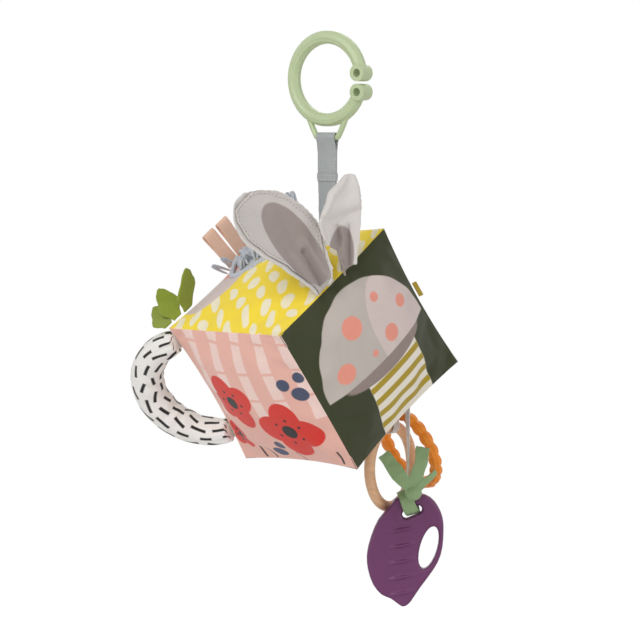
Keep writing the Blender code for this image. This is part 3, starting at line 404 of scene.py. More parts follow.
@dataclass(frozen=True)
class WovenCloth(Finish):
    """Plain-woven cotton. Its threads are 0.3 mm apart and are drawn at 0.9 mm, so that they show."""

    thread: float = 0.9
    depth: float = 0.00012
    roughness: float = 0.92
    slub: float = 0.05
    turn: tuple[float, float, float] = (0.0, 0.0, 0.0)

    def print_on(self, tree: Tree) -> Socket | None:
        """The print's colour, or None on plain cloth."""
        return None

    def build(self) -> bpy.types.Material:
        """Makes the cloth."""
        material, tree, shader = self.start()
        shader.inputs["Sheen Weight"].default_value = 0.25
        shader.inputs["Sheen Roughness"].default_value = 0.5
        raw = add_node(tree, "TexCoord", output="Object")
        pitch = 1000 / self.thread
        laid = add_node(tree, "Mapping", {"Vector": raw, "Rotation": self.turn, "Scale": (pitch, pitch, pitch)})
        warp = add_node(tree, "TexWave", {"Vector": laid, "Scale": 0.31, "Distortion": 0.6, "Detail": 1.0},
                        bands_direction="X")
        weft = add_node(tree, "TexWave", {"Vector": laid, "Scale": 0.31, "Distortion": 0.6, "Detail": 1.0},
                        bands_direction="Y")
        third = add_node(tree, "TexWave", {"Vector": laid, "Scale": 0.31, "Distortion": 0.6, "Detail": 1.0},
                         bands_direction="Z")
        weave = add_node(tree, "Math", (add_node(tree, "Math", (warp, weft), operation="MAXIMUM"), third),
                         operation="MAXIMUM")
        cloud = add_node(tree, "TexNoise", {"Vector": laid, "Scale": 0.05, "Detail": 4.0})
        uneven = add_node(tree, "Math", (weave, 0.5, cloud), operation="MULTIPLY_ADD")
        ends = {"Value": uneven, "From Min": 0.3, "From Max": 1.2}
        shade = add_node(tree, "MapRange", ends)
        self.shade(tree, shader, shade, 1.0 - self.slub, 1.0 + self.slub, self.print_on(tree))
        self.bump(tree, shader, weave, self.depth, 0.6)
        return material


class Side(Enum):
    """The block's six sides. Each gives its outward axis, the print's right and its up, in the block's axes."""

    FRONT = ((-1, 0, 0), (0, 1, 0), (0, 0, -1))
    BACK = ((1, 0, 0), (0, -1, 0), (0, 0, -1))
    UPPER = ((0, 0, -1), (0, 1, 0), (1, 0, 0))
    BOTTOM = ((0, 0, 1), (0, -1, 0), (1, 0, 0))
    LOWER = ((0, -1, 0), (-1, 0, 0), (0, 0, -1))
    RIGHT = ((0, 1, 0), (1, 0, 0), (0, 0, -1))


@dataclass(frozen=True)
class BlockShape:
    """The block's place and shape, as in the solids: metres, with its axes along its three kinds of edge."""

    half: float = 55.0 * MM
    tilt: float = math.radians(36.5)
    hang: Vector = Vector((0.0, 0.0, -116.5)) * MM
    bow: float = 2.0 * MM
    crown: float = 7.0 * MM

    def axes(self) -> Matrix:
        """The block's axes as columns: front to back, up the slope, and down it."""
        second = Vector((math.cos(self.tilt), 0.0, math.sin(self.tilt)))
        third = Vector((math.sin(self.tilt), 0.0, -math.cos(self.tilt)))
        return Matrix((Vector((0.0, 1.0, 0.0)), second, third)).transposed()

    def middle(self) -> Vector:
        """The block's middle in the object's frame."""
        return self.hang + self.axes() @ Vector((0.0, -self.half, self.half))

    def at(self, unit: Sequence[float], lift: float = 0.0) -> Vector:
        """A point of the block's surface.

        Args:
            unit: The point on a cube from -1 to 1.
            lift: Metres outward.

        Returns:
            The point in the object's frame.
        """
        mapped = []
        for axis in range(3):
            first, second = (1 - unit[(axis + step) % 3] ** 2 for step in (1, 2))
            bow = self.bow / self.half * (first + second - 2 * first * second)
            mapped.append(unit[axis] * (1 - bow + self.crown / self.half * first * second))
        return self.middle() + self.axes() @ ((self.half + lift) * Vector(mapped))


BLOCK = BlockShape()


@dataclass(frozen=True)
class PrintedPanel(WovenCloth):
    """Printed cotton for one side of the block: the ink sits in the weave and keeps its matt look."""

    side: Side = Side.FRONT
    thread: float = 1.1
    turn: tuple[float, float, float] = (0.0, -math.radians(36.5), 0.0)

    def print_on(self, tree: Tree) -> Socket:
        """Lays the panel's own plane over it and draws the print there."""
        _, right, up = (Vector(way) for way in self.side.value)
        axes, middle = BLOCK.axes(), BLOCK.middle()
        raw = add_node(tree, "TexCoord", output="Object")
        about = add_node(tree, "VectorMath", (raw, tuple(middle)), operation="SUBTRACT")
        ends = [
            add_node(tree, "VectorMath", (about, tuple(axes @ way * 1000)), "Value", operation="DOT_PRODUCT")
            for way in (right, up)
        ]
        layout = Layout(tree, ends[0], ends[1], self.dye)
        self.draw(layout)
        return layout.colour

    def draw(self, layout: Layout) -> None:
        """Draws the print. A bare panel has none."""


@dataclass(frozen=True)
class ToadstoolPrint(PrintedPanel):
    """Front: a big pale toadstool on dark olive, its stalk in mustard stripes."""

    def draw(self, layout: Layout) -> None:
        """Draws the stalk, its stripes, the gills, the cap and its dots."""
        stalk = layout.bar(4, -34, 25, 27)
        layout.paint(stalk, Dye.CREAM)
        layout.paint(layout.both(stalk, layout.rows(layout.up, 4.6, 0.46)), Dye.MUSTARD)
        above = layout.bar(0, 42, 60, 49)
        layout.paint(layout.both(layout.oval(1, -7, 37, 9), layout.outside(above)), Dye.TAUPE)
        cap = layout.both(layout.oval(1, -7, 49, 53), above)
        layout.paint(cap, Dye.WARM_GREY)
        layout.paint(layout.both(layout.oval(33, -10, 30, 50, 14), cap), Dye.LILAC)
        for x, y, size in ((-30, 4, 7.0), (-10, 25, 8.0), (14, 3, 6.0), (34, 13, 4.5), (-5, 1, 2.4), (17, 29, 3.4)):
            layout.paint(layout.oval(x, y, size, size * 0.93), Dye.CORAL)


@dataclass(frozen=True)
class MeadowPrint(PrintedPanel):
    """Lower side: red poppies and dark berries over a pale check on pink."""

    def draw(self, layout: Layout) -> None:
        """Draws the check, the flowers, the berries and short strokes between them."""
        for x in (-38, -16, 6, 28, 50):
            layout.paint(layout.bar(x, 22, 4.6, 34), Dye.BLUSH)
        for y in (46, 26, 6):
            layout.paint(layout.bar(0, y, 56, 1.0), Dye.PINK)
        for x, y, size, turn in ((-20, 2, 14.5, 20), (20, -20, 16.5, -12), (-42, -32, 8.0, 40)):
            for step in range(4):
                angle = math.radians(turn + 90 * step)
                layout.paint(layout.oval(x + 0.62 * size * math.cos(angle), y + 0.62 * size * math.sin(angle),
                                         size * 0.86, size * 0.7, turn + 90 * step), Dye.RED)
            layout.paint(layout.oval(x, y, size * 0.34, size * 0.34), Dye.INK)
            for step in range(6):
                angle = math.radians(turn + 30 + 60 * step)
                layout.paint(layout.oval(x + 0.6 * size * math.cos(angle), y + 0.6 * size * math.sin(angle), 1.1, 1.1), Dye.INK)
        for x, y, size in ((44, 8, 5.5), (36, 17, 4.5), (48, 20, 4.0), (-8, -42, 5.0), (-1, -34, 4.0)):
            layout.paint(layout.oval(x, y, size, size), Dye.NAVY)
        for x, turn in ((-30, 84), (-22, 97), (8, 90), (44, 86)):
            layout.paint(layout.bar(x, -46, 0.8, 5.5, turn - 90), Dye.INK)


@dataclass(frozen=True)
class PebblePrint(PrintedPanel):
    """Upper side: pale pebbles in staggered rows on yellow, and a big lilac one with a coral dot."""

    def draw(self, layout: Layout) -> None:
        """Draws the leaning pebbles, each row half a step on from the last, then the big one."""
        across, up = 17.0, 12.0
        plain = Layout(layout.tree, layout.across, layout.up, Dye.YELLOW)
        flat = add_node(layout.tree, "CombineXYZ", (layout.across, layout.up, 0.0))
        cloud = add_node(layout.tree, "TexNoise", {"Vector": flat, "Scale": 0.045, "Detail": 1.0}, "Color")
        moved = add_node(layout.tree, "VectorMath", (cloud, (16.0, 12.0, 0.0), flat), operation="MULTIPLY_ADD")
        ends = add_node(layout.tree, "SeparateXYZ", (moved,))
        layout.across, layout.up = ends, ends.node.outputs[1]
        row = add_node(layout.tree, "Math", (layout.up, up), operation="DIVIDE")
        whole = add_node(layout.tree, "Math", (row,), operation="FLOOR")
        odd = add_node(layout.tree, "Math", (whole, 2.0), operation="FLOORED_MODULO")
        shifted = add_node(layout.tree, "Math", (odd, across / 2, layout.across), operation="MULTIPLY_ADD")
        inside = add_node(layout.tree, "Math", (shifted, across), operation="FLOORED_MODULO")
        height = add_node(layout.tree, "Math", (layout.up, up), operation="FLOORED_MODULO")
        cell = Layout(layout.tree, inside, height, Dye.BUTTER)
        layout.paint(cell.oval(across / 2, up / 2, 6.4, 3.5, 30), Dye.BUTTER)
        layout.paint(plain.oval(-10, 47, 30, 27), Dye.LILAC)
        layout.paint(plain.oval(1, 44, 7.0, 6.0), Dye.CORAL)


@dataclass(frozen=True)
class SpotPrint(PrintedPanel):
    """Back: rows of coral spots with a cream band, in the toy's own colours."""

    def draw(self, layout: Layout) -> None:
        """Draws the band, its stripes and the spots."""
        band = layout.bar(0, -32, 60, 13)
        layout.paint(band, Dye.CREAM)
        layout.paint(layout.both(band, layout.rows(layout.across, 5.0, 0.4)), Dye.SAGE)
        for row in range(3):
            for column in range(5):
                layout.paint(layout.oval(-44 + 22 * column + 11 * (row % 2), 40 - 20 * row, 5.2, 5.2), Dye.CORAL)


@dataclass(frozen=True)
class HillPrint(PrintedPanel):
    """Right side: three soft hills on warm grey."""

    def draw(self, layout: Layout) -> None:
        """Draws the hills from the furthest to the nearest."""
        layout.paint(layout.oval(-30, -40, 44, 46), Dye.TAUPE)
        layout.paint(layout.oval(32, -52, 46, 44), Dye.SAGE)
        layout.paint(layout.oval(-4, -64, 52, 34), Dye.OLIVE)
        layout.paint(layout.oval(26, 30, 9, 9), Dye.CORAL)


@dataclass(frozen=True)
class Webbing(WovenCloth):
    """Polyester webbing: a coarse diagonal twill with a slight shine on its ribs."""

    roughness: float = 0.7
    thread: float = 1.5
    depth: float = 0.00025
    slub: float = 0.12
    turn: tuple[float, float, float] = (0.0, 0.6, 0.8)


@dataclass(frozen=True)
class ShortPile(Finish):
    """Minky plush: a velvety pile 1.5 mm long that lies in patches and lights up at its edges."""

    roughness: float = 1.0

    def build(self) -> bpy.types.Material:
        """Makes the plush."""
        material, tree, shader = self.start()
        shader.inputs["Sheen Weight"].default_value = 0.7
        shader.inputs["Sheen Roughness"].default_value = 0.4
        place = self.place(tree)
        hairs = add_node(tree, "TexNoise", {"Vector": place, "Scale": 1.1, "Detail": 4.0, "Roughness": 0.7})
        lay = add_node(tree, "TexNoise", {"Vector": place, "Scale": 0.12, "Detail": 2.0})
        both = add_node(tree, "Math", (lay, 0.6, hairs), operation="MULTIPLY_ADD")
        self.shade(tree, shader, add_node(tree, "MapRange", {"Value": both, "From Min": 0.5, "From Max": 1.1}), 0.9, 1.07)
        self.bump(tree, shader, hairs, 0.0005, 0.7)
        return material


@dataclass(frozen=True)
class SatinRibbon(WovenCloth):
    """Satin ribbon: fine ribs across it and a soft sheen."""

    roughness: float = 0.48
    thread: float = 0.8
    depth: float = 0.00008


@dataclass(frozen=True)
class FeltedCloth(ShortPile):
    """Needled felt: matt, with short crossing fibres."""

    roughness: float = 1.0


@dataclass(frozen=True)
class BrushStrokeCloth(WovenCloth):
    """White cotton with short black brush strokes that run along it, on the cloth's own lengthwise map."""

    thread: float = 0.9

    def print_on(self, tree: Tree) -> Socket:
        """Draws the strokes: staggered rows of short bars, each leaning a little its own way."""
        flat = add_node(tree, "UVMap", uv_map="cloth")
        ends = add_node(tree, "SeparateXYZ", (flat,))
        layout = Layout(tree, ends, ends.node.outputs[1], self.dye)
        long, wide = 16.0, 7.2
        column = add_node(tree, "Math", (add_node(tree, "Math", (layout.up, wide), operation="DIVIDE"),), operation="FLOOR")
        shifted = add_node(tree, "Math", (column, 6.1, layout.across), operation="MULTIPLY_ADD")
        step = add_node(tree, "Math", (add_node(tree, "Math", (shifted, long), operation="DIVIDE"),), operation="FLOOR")
        seed = add_node(tree, "TexWhiteNoise", (add_node(tree, "CombineXYZ", (column, step, 0.0)),), "Color")
        chance = add_node(tree, "SeparateXYZ", (seed,))
        lean = add_node(tree, "MapRange", {"Value": chance, "To Min": -0.55, "To Max": 0.35})
        inside = add_node(tree, "Math", (shifted, long), operation="FLOORED_MODULO")
        height = add_node(tree, "Math", (layout.up, wide), operation="FLOORED_MODULO")
        about = add_node(tree, "VectorMath",
                         (add_node(tree, "CombineXYZ", (inside, height, 0.0)), (long / 2, wide / 2, 0.0)),
                         operation="SUBTRACT")
        turned = add_node(tree, "VectorRotate", {"Vector": about, "Angle": lean}, rotation_type="Z_AXIS")
        parts = add_node(tree, "SeparateXYZ", (turned,))
        cell = Layout(tree, parts, parts.node.outputs[1], self.dye)
        length = add_node(tree, "MapRange", {"Value": chance.node.outputs[1], "To Min": 3.6, "To Max": 6.3})
        reach = add_node(tree, "Math", (add_node(tree, "Math", (cell.across,), operation="ABSOLUTE"), length),
                         operation="SUBTRACT")
        side = add_node(tree, "Math", (add_node(tree, "Math", (cell.up,), operation="ABSOLUTE"), 1.2),
                        operation="SUBTRACT")
        layout.paint(cell.edge(add_node(tree, "Math", (reach, side), operation="MAXIMUM")), Dye.INK)
        return layout.colour


class Bench:
    """Where pieces are finished: it keeps the materials, the CAD nodes and the objects made so far."""

    def __init__(self, frame: dict) -> None:
        """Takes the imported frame."""
        self.frame = frame
        self.materials: dict[str, bpy.types.Material] = {}
        self.made: list[Object] = []

    def material(self, finish: Finish) -> bpy.types.Material:
        """The finish's material, made once."""
        if finish.name not in self.materials:
            self.materials[finish.name] = finish.build()
        return self.materials[finish.name]

    def node(self, name: str) -> Object:
        """A CAD node's object."""
        return self.frame["nodes"][name]

    def dress(self, name: str, finish: Finish) -> None:
        """Gives a CAD node that stays its finish."""
        node = self.node(name)
        node.data.materials.clear()
        node.data.materials.append(self.material(finish))
        LOG.info("%s: %s", name, finish.name)

    def copied(self, name: str) -> bmesh.types.BMesh:
        """A CAD node's shape as a bmesh whose points are merged."""
        work = bmesh.new()
        work.from_mesh(self.node(name).data)
        bmesh.ops.remove_doubles(work, verts=work.verts[:], dist=0.00001)
        bmesh.ops.recalc_face_normals(work, faces=work.faces[:])
        return work

    def add(self, name: str, work: bmesh.types.BMesh, finish: Finish, body: str, slot: str,
            replaces: Iterable[str] = (), levels: int = 0) -> Object:
        """Makes a piece from a bmesh.

        Args:
            name: The piece's name.
            work: Its shape, which is freed.
            finish: Its finish.
            body: The CAD body that it rides on.
            slot: The record's material slot; not used.
            replaces: The CAD nodes that it stands for.
            levels: Subdivision levels.

        Returns:
            The object.
        """
        mesh = bpy.data.meshes.new(name)
        work.to_mesh(mesh)
        work.free()
        mesh.polygons.foreach_set("use_smooth", [True] * len(mesh.polygons))
        piece = bpy.data.objects.new(name, mesh)
        bpy.context.scene.collection.objects.link(piece)
        mesh.materials.append(self.material(finish))
        if levels:
            self.round_off(piece, levels)
        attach(piece, body)
        if replaces:
            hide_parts(*replaces)
        self.made.append(piece)
        LOG.info("%s: %d points, on %s", name, len(mesh.vertices), body)
        return piece

    def round_off(self, piece: Object, levels: int) -> None:
        """Adds a subdivision surface, the same in the view and in the render."""
        smooth = piece.modifiers.new("round", "SUBSURF")
        smooth.levels = smooth.render_levels = levels


PANELS = {
    Side.FRONT: ("panel_front", ToadstoolPrint("cotton_toadstool", Dye.OLIVE, side=Side.FRONT)),
    Side.BACK: ("panel_back", SpotPrint("cotton_spots", Dye.LILAC, side=Side.BACK)),
    Side.UPPER: ("panel_upper", PebblePrint("cotton_pebbles", Dye.YELLOW, side=Side.UPPER)),
    Side.BOTTOM: ("panel_bottom", PrintedPanel("cotton_plain_taupe", Dye.TAUPE, side=Side.BOTTOM)),
    Side.LOWER: ("panel_lower", MeadowPrint("cotton_meadow", Dye.PINK, side=Side.LOWER)),
    Side.RIGHT: ("panel_right", HillPrint("cotton_hills", Dye.WARM_GREY, side=Side.RIGHT)),
}


@dataclass
class StuffedBlock:
    """The block: six printed panels sewn edge to edge over fibre filling."""

    cuts: int = 33
    crowding: float = 1.45
    slack: float = 0.03
    calm: float = 0.12
    pressure: float = 2.4
    most_move: float = 3.0 * MM
    cloth: float = 1.0 * MM
    fill_gap: float = 1.6 * MM

    def unit_cube(self) -> bmesh.types.BMesh:
        """A cube from -1 to 1, its grid closer towards the seams, each face marked with its side."""
        work = bmesh.new()
        bmesh.ops.create_cube(work, size=2.0)
        sides = list(Side)
        for face in work.faces:
            face.material_index = next(
                index for index, side in enumerate(sides) if face.normal.dot(Vector(side.value[0])) > 0.9
            )
        bmesh.ops.subdivide_edges(work, edges=work.edges[:], cuts=self.cuts, use_grid_fill=True)
        for vert in work.verts:
            vert.co = Vector([math.copysign(1 - (1 - abs(c)) ** self.crowding, c) for c in vert.co])
        return work

    def seam_share(self, unit: Vector) -> float:
        """How near a seam a point is: 1 on it, 0 from a tenth of the side away."""
        nearest = sorted(1 - abs(c) for c in unit)[1]
        return max(0.0, 1 - nearest / 0.10)

    def covered(self) -> bmesh.types.BMesh:
        """The whole cover at rest, swelled by a short cloth simulation that wrinkles it along its seams."""
        work = self.unit_cube()
        units = [vert.co.copy() for vert in work.verts]
        for vert, unit in zip(work.verts, units):
            vert.co = BLOCK.at(unit, -0.4 * MM)
        mesh = bpy.data.meshes.new("cover_draft")
        work.to_mesh(mesh)
        starts = [vert.co.copy() for vert in mesh.vertices]
        draft = bpy.data.objects.new("cover_draft", mesh)
        scene = bpy.context.scene
        scene.collection.objects.link(draft)
        pins = draft.vertex_groups.new(name="seams")
        for index, unit in enumerate(units):
            nearest = sorted(1 - abs(c) for c in unit)[1]
            if nearest < 0.004:
                pins.add([index], 1.0, "REPLACE")
        cloth = draft.modifiers.new("cloth", "CLOTH")
        settings = cloth.settings
        settings.quality = 6
        settings.mass = 0.12
        settings.tension_stiffness = settings.compression_stiffness = 12.0
        settings.shear_stiffness = 4.0
        settings.bending_stiffness = 0.12
        settings.use_pressure = True
        settings.uniform_pressure_force = self.pressure
        settings.shrink_min = -self.slack
        settings.vertex_group_mass = pins.name
        settings.effector_weights.gravity = 0.0
        cloth.collision_settings.use_collision = False
        cloth.collision_settings.use_self_collision = False
        for step in range(1, 19):
            scene.frame_set(step)
        evaluated = draft.evaluated_get(bpy.context.evaluated_depsgraph_get())
        ends = [vert.co.copy() for vert in evaluated.data.vertices]
        scene.frame_set(1)
        for vert, unit, start, end in zip(work.verts, units, starts, ends):
            move = end - start
            if move.length > self.most_move:
                move *= self.most_move / move.length
            nearest = sorted(1 - abs(c) for c in unit)[1]
            vert.co = start + move * min(1.0, nearest / self.calm)
        inside = [vert for vert, unit in zip(work.verts, units) if sorted(1 - abs(c) for c in unit)[1] > 0.004]
        bmesh.ops.smooth_vert(work, verts=inside, factor=0.5, use_axis_x=True, use_axis_y=True, use_axis_z=True)
        bpy.data.objects.remove(draft)
        bpy.data.meshes.remove(mesh)
        return work

    def pucker(self, work: bmesh.types.BMesh, units: Sequence[Vector]) -> None:
        """Gathers the cloth beside the seams in small folds square to them, as a sewn and turned cover has.

        Args:
            work: The cover.
            units: Its points on the unit cube.
        """
        middle = BLOCK.middle()
        for vert, unit in zip(work.verts, units):
            share = self.seam_share(unit)
            if not 0.0 < share < 1.0:
                continue
            near = noise.noise(vert.co * 90) + 0.5 * noise.noise(vert.co * 210)
            vert.co += (vert.co - middle).normalized() * near * 0.8 * MM * math.sin(math.pi * share) ** 2

    def build(self, bench: Bench) -> None:
        """Makes the six panels and the filling."""
        plain = self.unit_cube()
        units = [vert.co.copy() for vert in plain.verts]
        plain.free()
        cover = self.covered()
        self.pucker(cover, units)
        inner = cover.copy()
        for index, (name, finish) in enumerate(PANELS.values()):
            part = cover.copy()
            others = [face for face in part.faces if face.material_index != index]
            bmesh.ops.delete(part, geom=others, context="FACES")
            for face in part.faces:
                face.material_index = 0
            piece = bench.add(f"{name}_cloth", part, finish, "block", f"{name}_cloth", (name,))
            wall = piece.modifiers.new("wall", "SOLIDIFY")
            wall.thickness, wall.offset = self.cloth, -1.0
            bench.round_off(piece, 2)
        cover.free()
        inner.normal_update()
        for vert in inner.verts:
            vert.co -= vert.normal * (self.cloth + self.fill_gap)
        for face in inner.faces:
            face.material_index = 0
        bmesh.ops.smooth_vert(inner, verts=inner.verts[:], factor=0.5, use_axis_x=True, use_axis_y=True, use_axis_z=True)
        filling = bench.add("fibre_filling", inner, FeltedCloth("polyester_fibre", Dye.FILLING), "block", "filling",
                            ("foam_core",))


@dataclass
class SoftCopies:
    """Cloth pieces that keep the outline of their solids: each is remeshed, smoothed and given small folds."""

    voxel: float = 1.0 * MM

    def remade(self, bench: Bench, node: str, voxel: float, smooth: int) -> bmesh.types.BMesh:
        """The node's shape with an even skin.

        Args:
            bench: The bench.
            node: The CAD node.
            voxel: The remesh's size.
            smooth: How many times the skin is smoothed.

        Returns:
            The shape.
        """
        work = bench.copied(node)
        mesh = bpy.data.meshes.new("draft")
        work.to_mesh(mesh)
        work.free()
        draft = bpy.data.objects.new("draft", mesh)
        bpy.context.scene.collection.objects.link(draft)
        even = draft.modifiers.new("even", "REMESH")
        even.mode, even.voxel_size, even.adaptivity = "VOXEL", voxel, 0.0
        evaluated = draft.evaluated_get(bpy.context.evaluated_depsgraph_get())
        result = bmesh.new()
        result.from_mesh(evaluated.to_mesh())
        evaluated.to_mesh_clear()
        bpy.data.objects.remove(draft)
        bpy.data.meshes.remove(mesh)
        for _ in range(smooth):
            bmesh.ops.smooth_vert(result, verts=result.verts[:], factor=0.5, use_axis_x=True, use_axis_y=True,
                                  use_axis_z=True)
        result.normal_update()
        return result

    def ruffle(self, work: bmesh.types.BMesh, scale: float, height: float, seed: float = 0.0) -> None:
        """Bends the whole thickness of a piece in soft waves.

        Args:
            work: The shape.
            scale: How many waves there are to a metre.
            height: The most that a point moves.
            seed: Which noise it is.
        """
        for vert in work.verts:
            vert.co += height * noise.noise_vector(vert.co * scale + Vector((seed, seed, seed)))

    def sharpen(self, work: bmesh.types.BMesh, times: int, share: float) -> None:
        """Deepens a moulding's relief: each point moves on from where smoothing would take it.

        Args:
            work: The shape.
            times: How far the smoothing goes.
            share: How much of the difference is added.
        """
        starts = [vert.co.copy() for vert in work.verts]
        for _ in range(times):
            bmesh.ops.smooth_vert(work, verts=work.verts[:], factor=0.5, use_axis_x=True, use_axis_y=True,
                                  use_axis_z=True)
        for vert, start in zip(work.verts, starts):
            vert.co = start + (start - vert.co) * share
        work.normal_update()

    def piece(self, bench: Bench, node: str, name: str, finish: Finish, body: str, slot: str, voxel: float,
              smooth: int, folds: Sequence[tuple[float, float]] = ()) -> Object:
        """Makes a piece from a node's remade shape, with folds of given scale and height."""
        work = self.remade(bench, node, voxel, smooth)
        for seed, (scale, height) in enumerate(folds):
            self.ruffle(work, scale, height, 3.0 * seed + len(node))
            work.normal_update()
        return bench.add(name, work, finish, body, slot, (node,))


TAPE_PLAIN = Webbing("polyester_tape", Dye.TAPE)
GREY_WEBBING = Webbing("grey_webbing", Dye.WEBBING)
GREY_THREAD = Finish("grey_thread", Dye.GREY_THREAD, 0.8)
PALE_THREAD = Finish("pale_thread", Dye.TAPE, 0.8)


@dataclass
class Thread:
    """Sewing thread laid as stitches: short rounded dashes along a path."""

    long: float = 2.2 * MM
    gap: float = 1.0 * MM
    thick: float = 0.45 * MM

    def along(self, points: Sequence[Vector], ways: Sequence[Vector]) -> bmesh.types.BMesh:
        """Stitches along a path.

        Args:
            points: The path.
            ways: The outward way at each of its points.

        Returns:
            All the stitches.
        """
        work = bmesh.new()
        lengths = [0.0]
        for first, second in zip(points, points[1:]):
            lengths.append(lengths[-1] + (second - first).length)
        place = self.gap
        while place + self.long < lengths[-1]:
            ends = [self.point(points, ways, lengths, place + share * self.long) for share in (0.0, 0.5, 1.0)]
            (start, way), (middle, _), (end, _) = ends
            run = end - start
            if run.length > 1e-6:
                turned = run.to_track_quat("X", "Z").to_matrix().to_4x4()
                size = Matrix.Diagonal((run.length / 2, self.thick / 2, self.thick / 2, 1.0))
                centre = middle + way * self.thick * 0.2
                bmesh.ops.create_icosphere(work, subdivisions=1, radius=1.0,
                                           matrix=Matrix.Translation(centre) @ turned @ size)
            place += self.long + self.gap
        return work

    def point(self, points: Sequence[Vector], ways: Sequence[Vector], lengths: Sequence[float],
              place: float) -> tuple[Vector, Vector]:
        """The path's point and outward way at a length along it."""
        for index in range(1, len(points)):
            if place <= lengths[index]:
                share = (place - lengths[index - 1]) / max(lengths[index] - lengths[index - 1], 1e-9)
                return (points[index - 1].lerp(points[index], share),
                        ways[index - 1].lerp(ways[index], share).normalized())
        return points[-1].copy(), ways[-1].copy()


@dataclass(frozen=True)
class EarPlace:
    """An ear's own plane: where it is sewn in, its way along, its way across and its way to the front."""

    root: Vector
    along: Vector
    across: Vector
    front: Vector

    def flat(self, point: Vector) -> tuple[float, float]:
        """A point's place across and along the ear, in metres."""
        about = point - self.root
        return about.dot(self.across), about.dot(self.along)


AXES = BLOCK.axes()
LEFT_EAR = EarPlace(
    Vector((-55.08, -54.68, -157.65)) * MM, (AXES @ Vector((0.329, 0.0, -0.944))).normalized(),
    (AXES @ Vector((0.0, 1.0, 0.0))).normalized(), (AXES @ Vector((-0.944, 0.0, -0.329))).normalized(),
)
RIGHT_EAR = EarPlace(
    Vector((-34.86, -54.14, -143.36)) * MM, (AXES @ Vector((-0.06, 0.595, -0.80))).normalized(),
    Vector((0.62, -0.78, 0.0)), Vector((-0.62, -0.78, 0.0)).normalized(),
)


@dataclass(frozen=True)
class EarClothWithPaintedShade(WovenCloth):
    """Brushed cotton lining with painted shade: a darker oval inside the ear."""

    thread: float = 0.8
    ear: EarPlace = LEFT_EAR
    inner: Dye = Dye.EAR_INSIDE
    oval: tuple[float, float, float, float, float] = (8.5, 34.0, 14.0, 31.0, -6.0)
    roughness: float = 0.95

    def print_on(self, tree: Tree) -> Socket:
        """Lays the ear's plane over the cloth and paints the inner oval of painted shade."""
        raw = add_node(tree, "TexCoord", output="Object")
        about = add_node(tree, "VectorMath", (raw, tuple(self.ear.root)), operation="SUBTRACT")
        ends = [
            add_node(tree, "VectorMath", (about, tuple(way * 1000)), "Value", operation="DOT_PRODUCT")
            for way in (self.ear.across, self.ear.along)
        ]
        layout = Layout(tree, ends[0], ends[1], self.dye)
        # Painted shade: the darker oval inside the ear.
        layout.paint(layout.oval(*self.oval), self.inner)
        return layout.colour


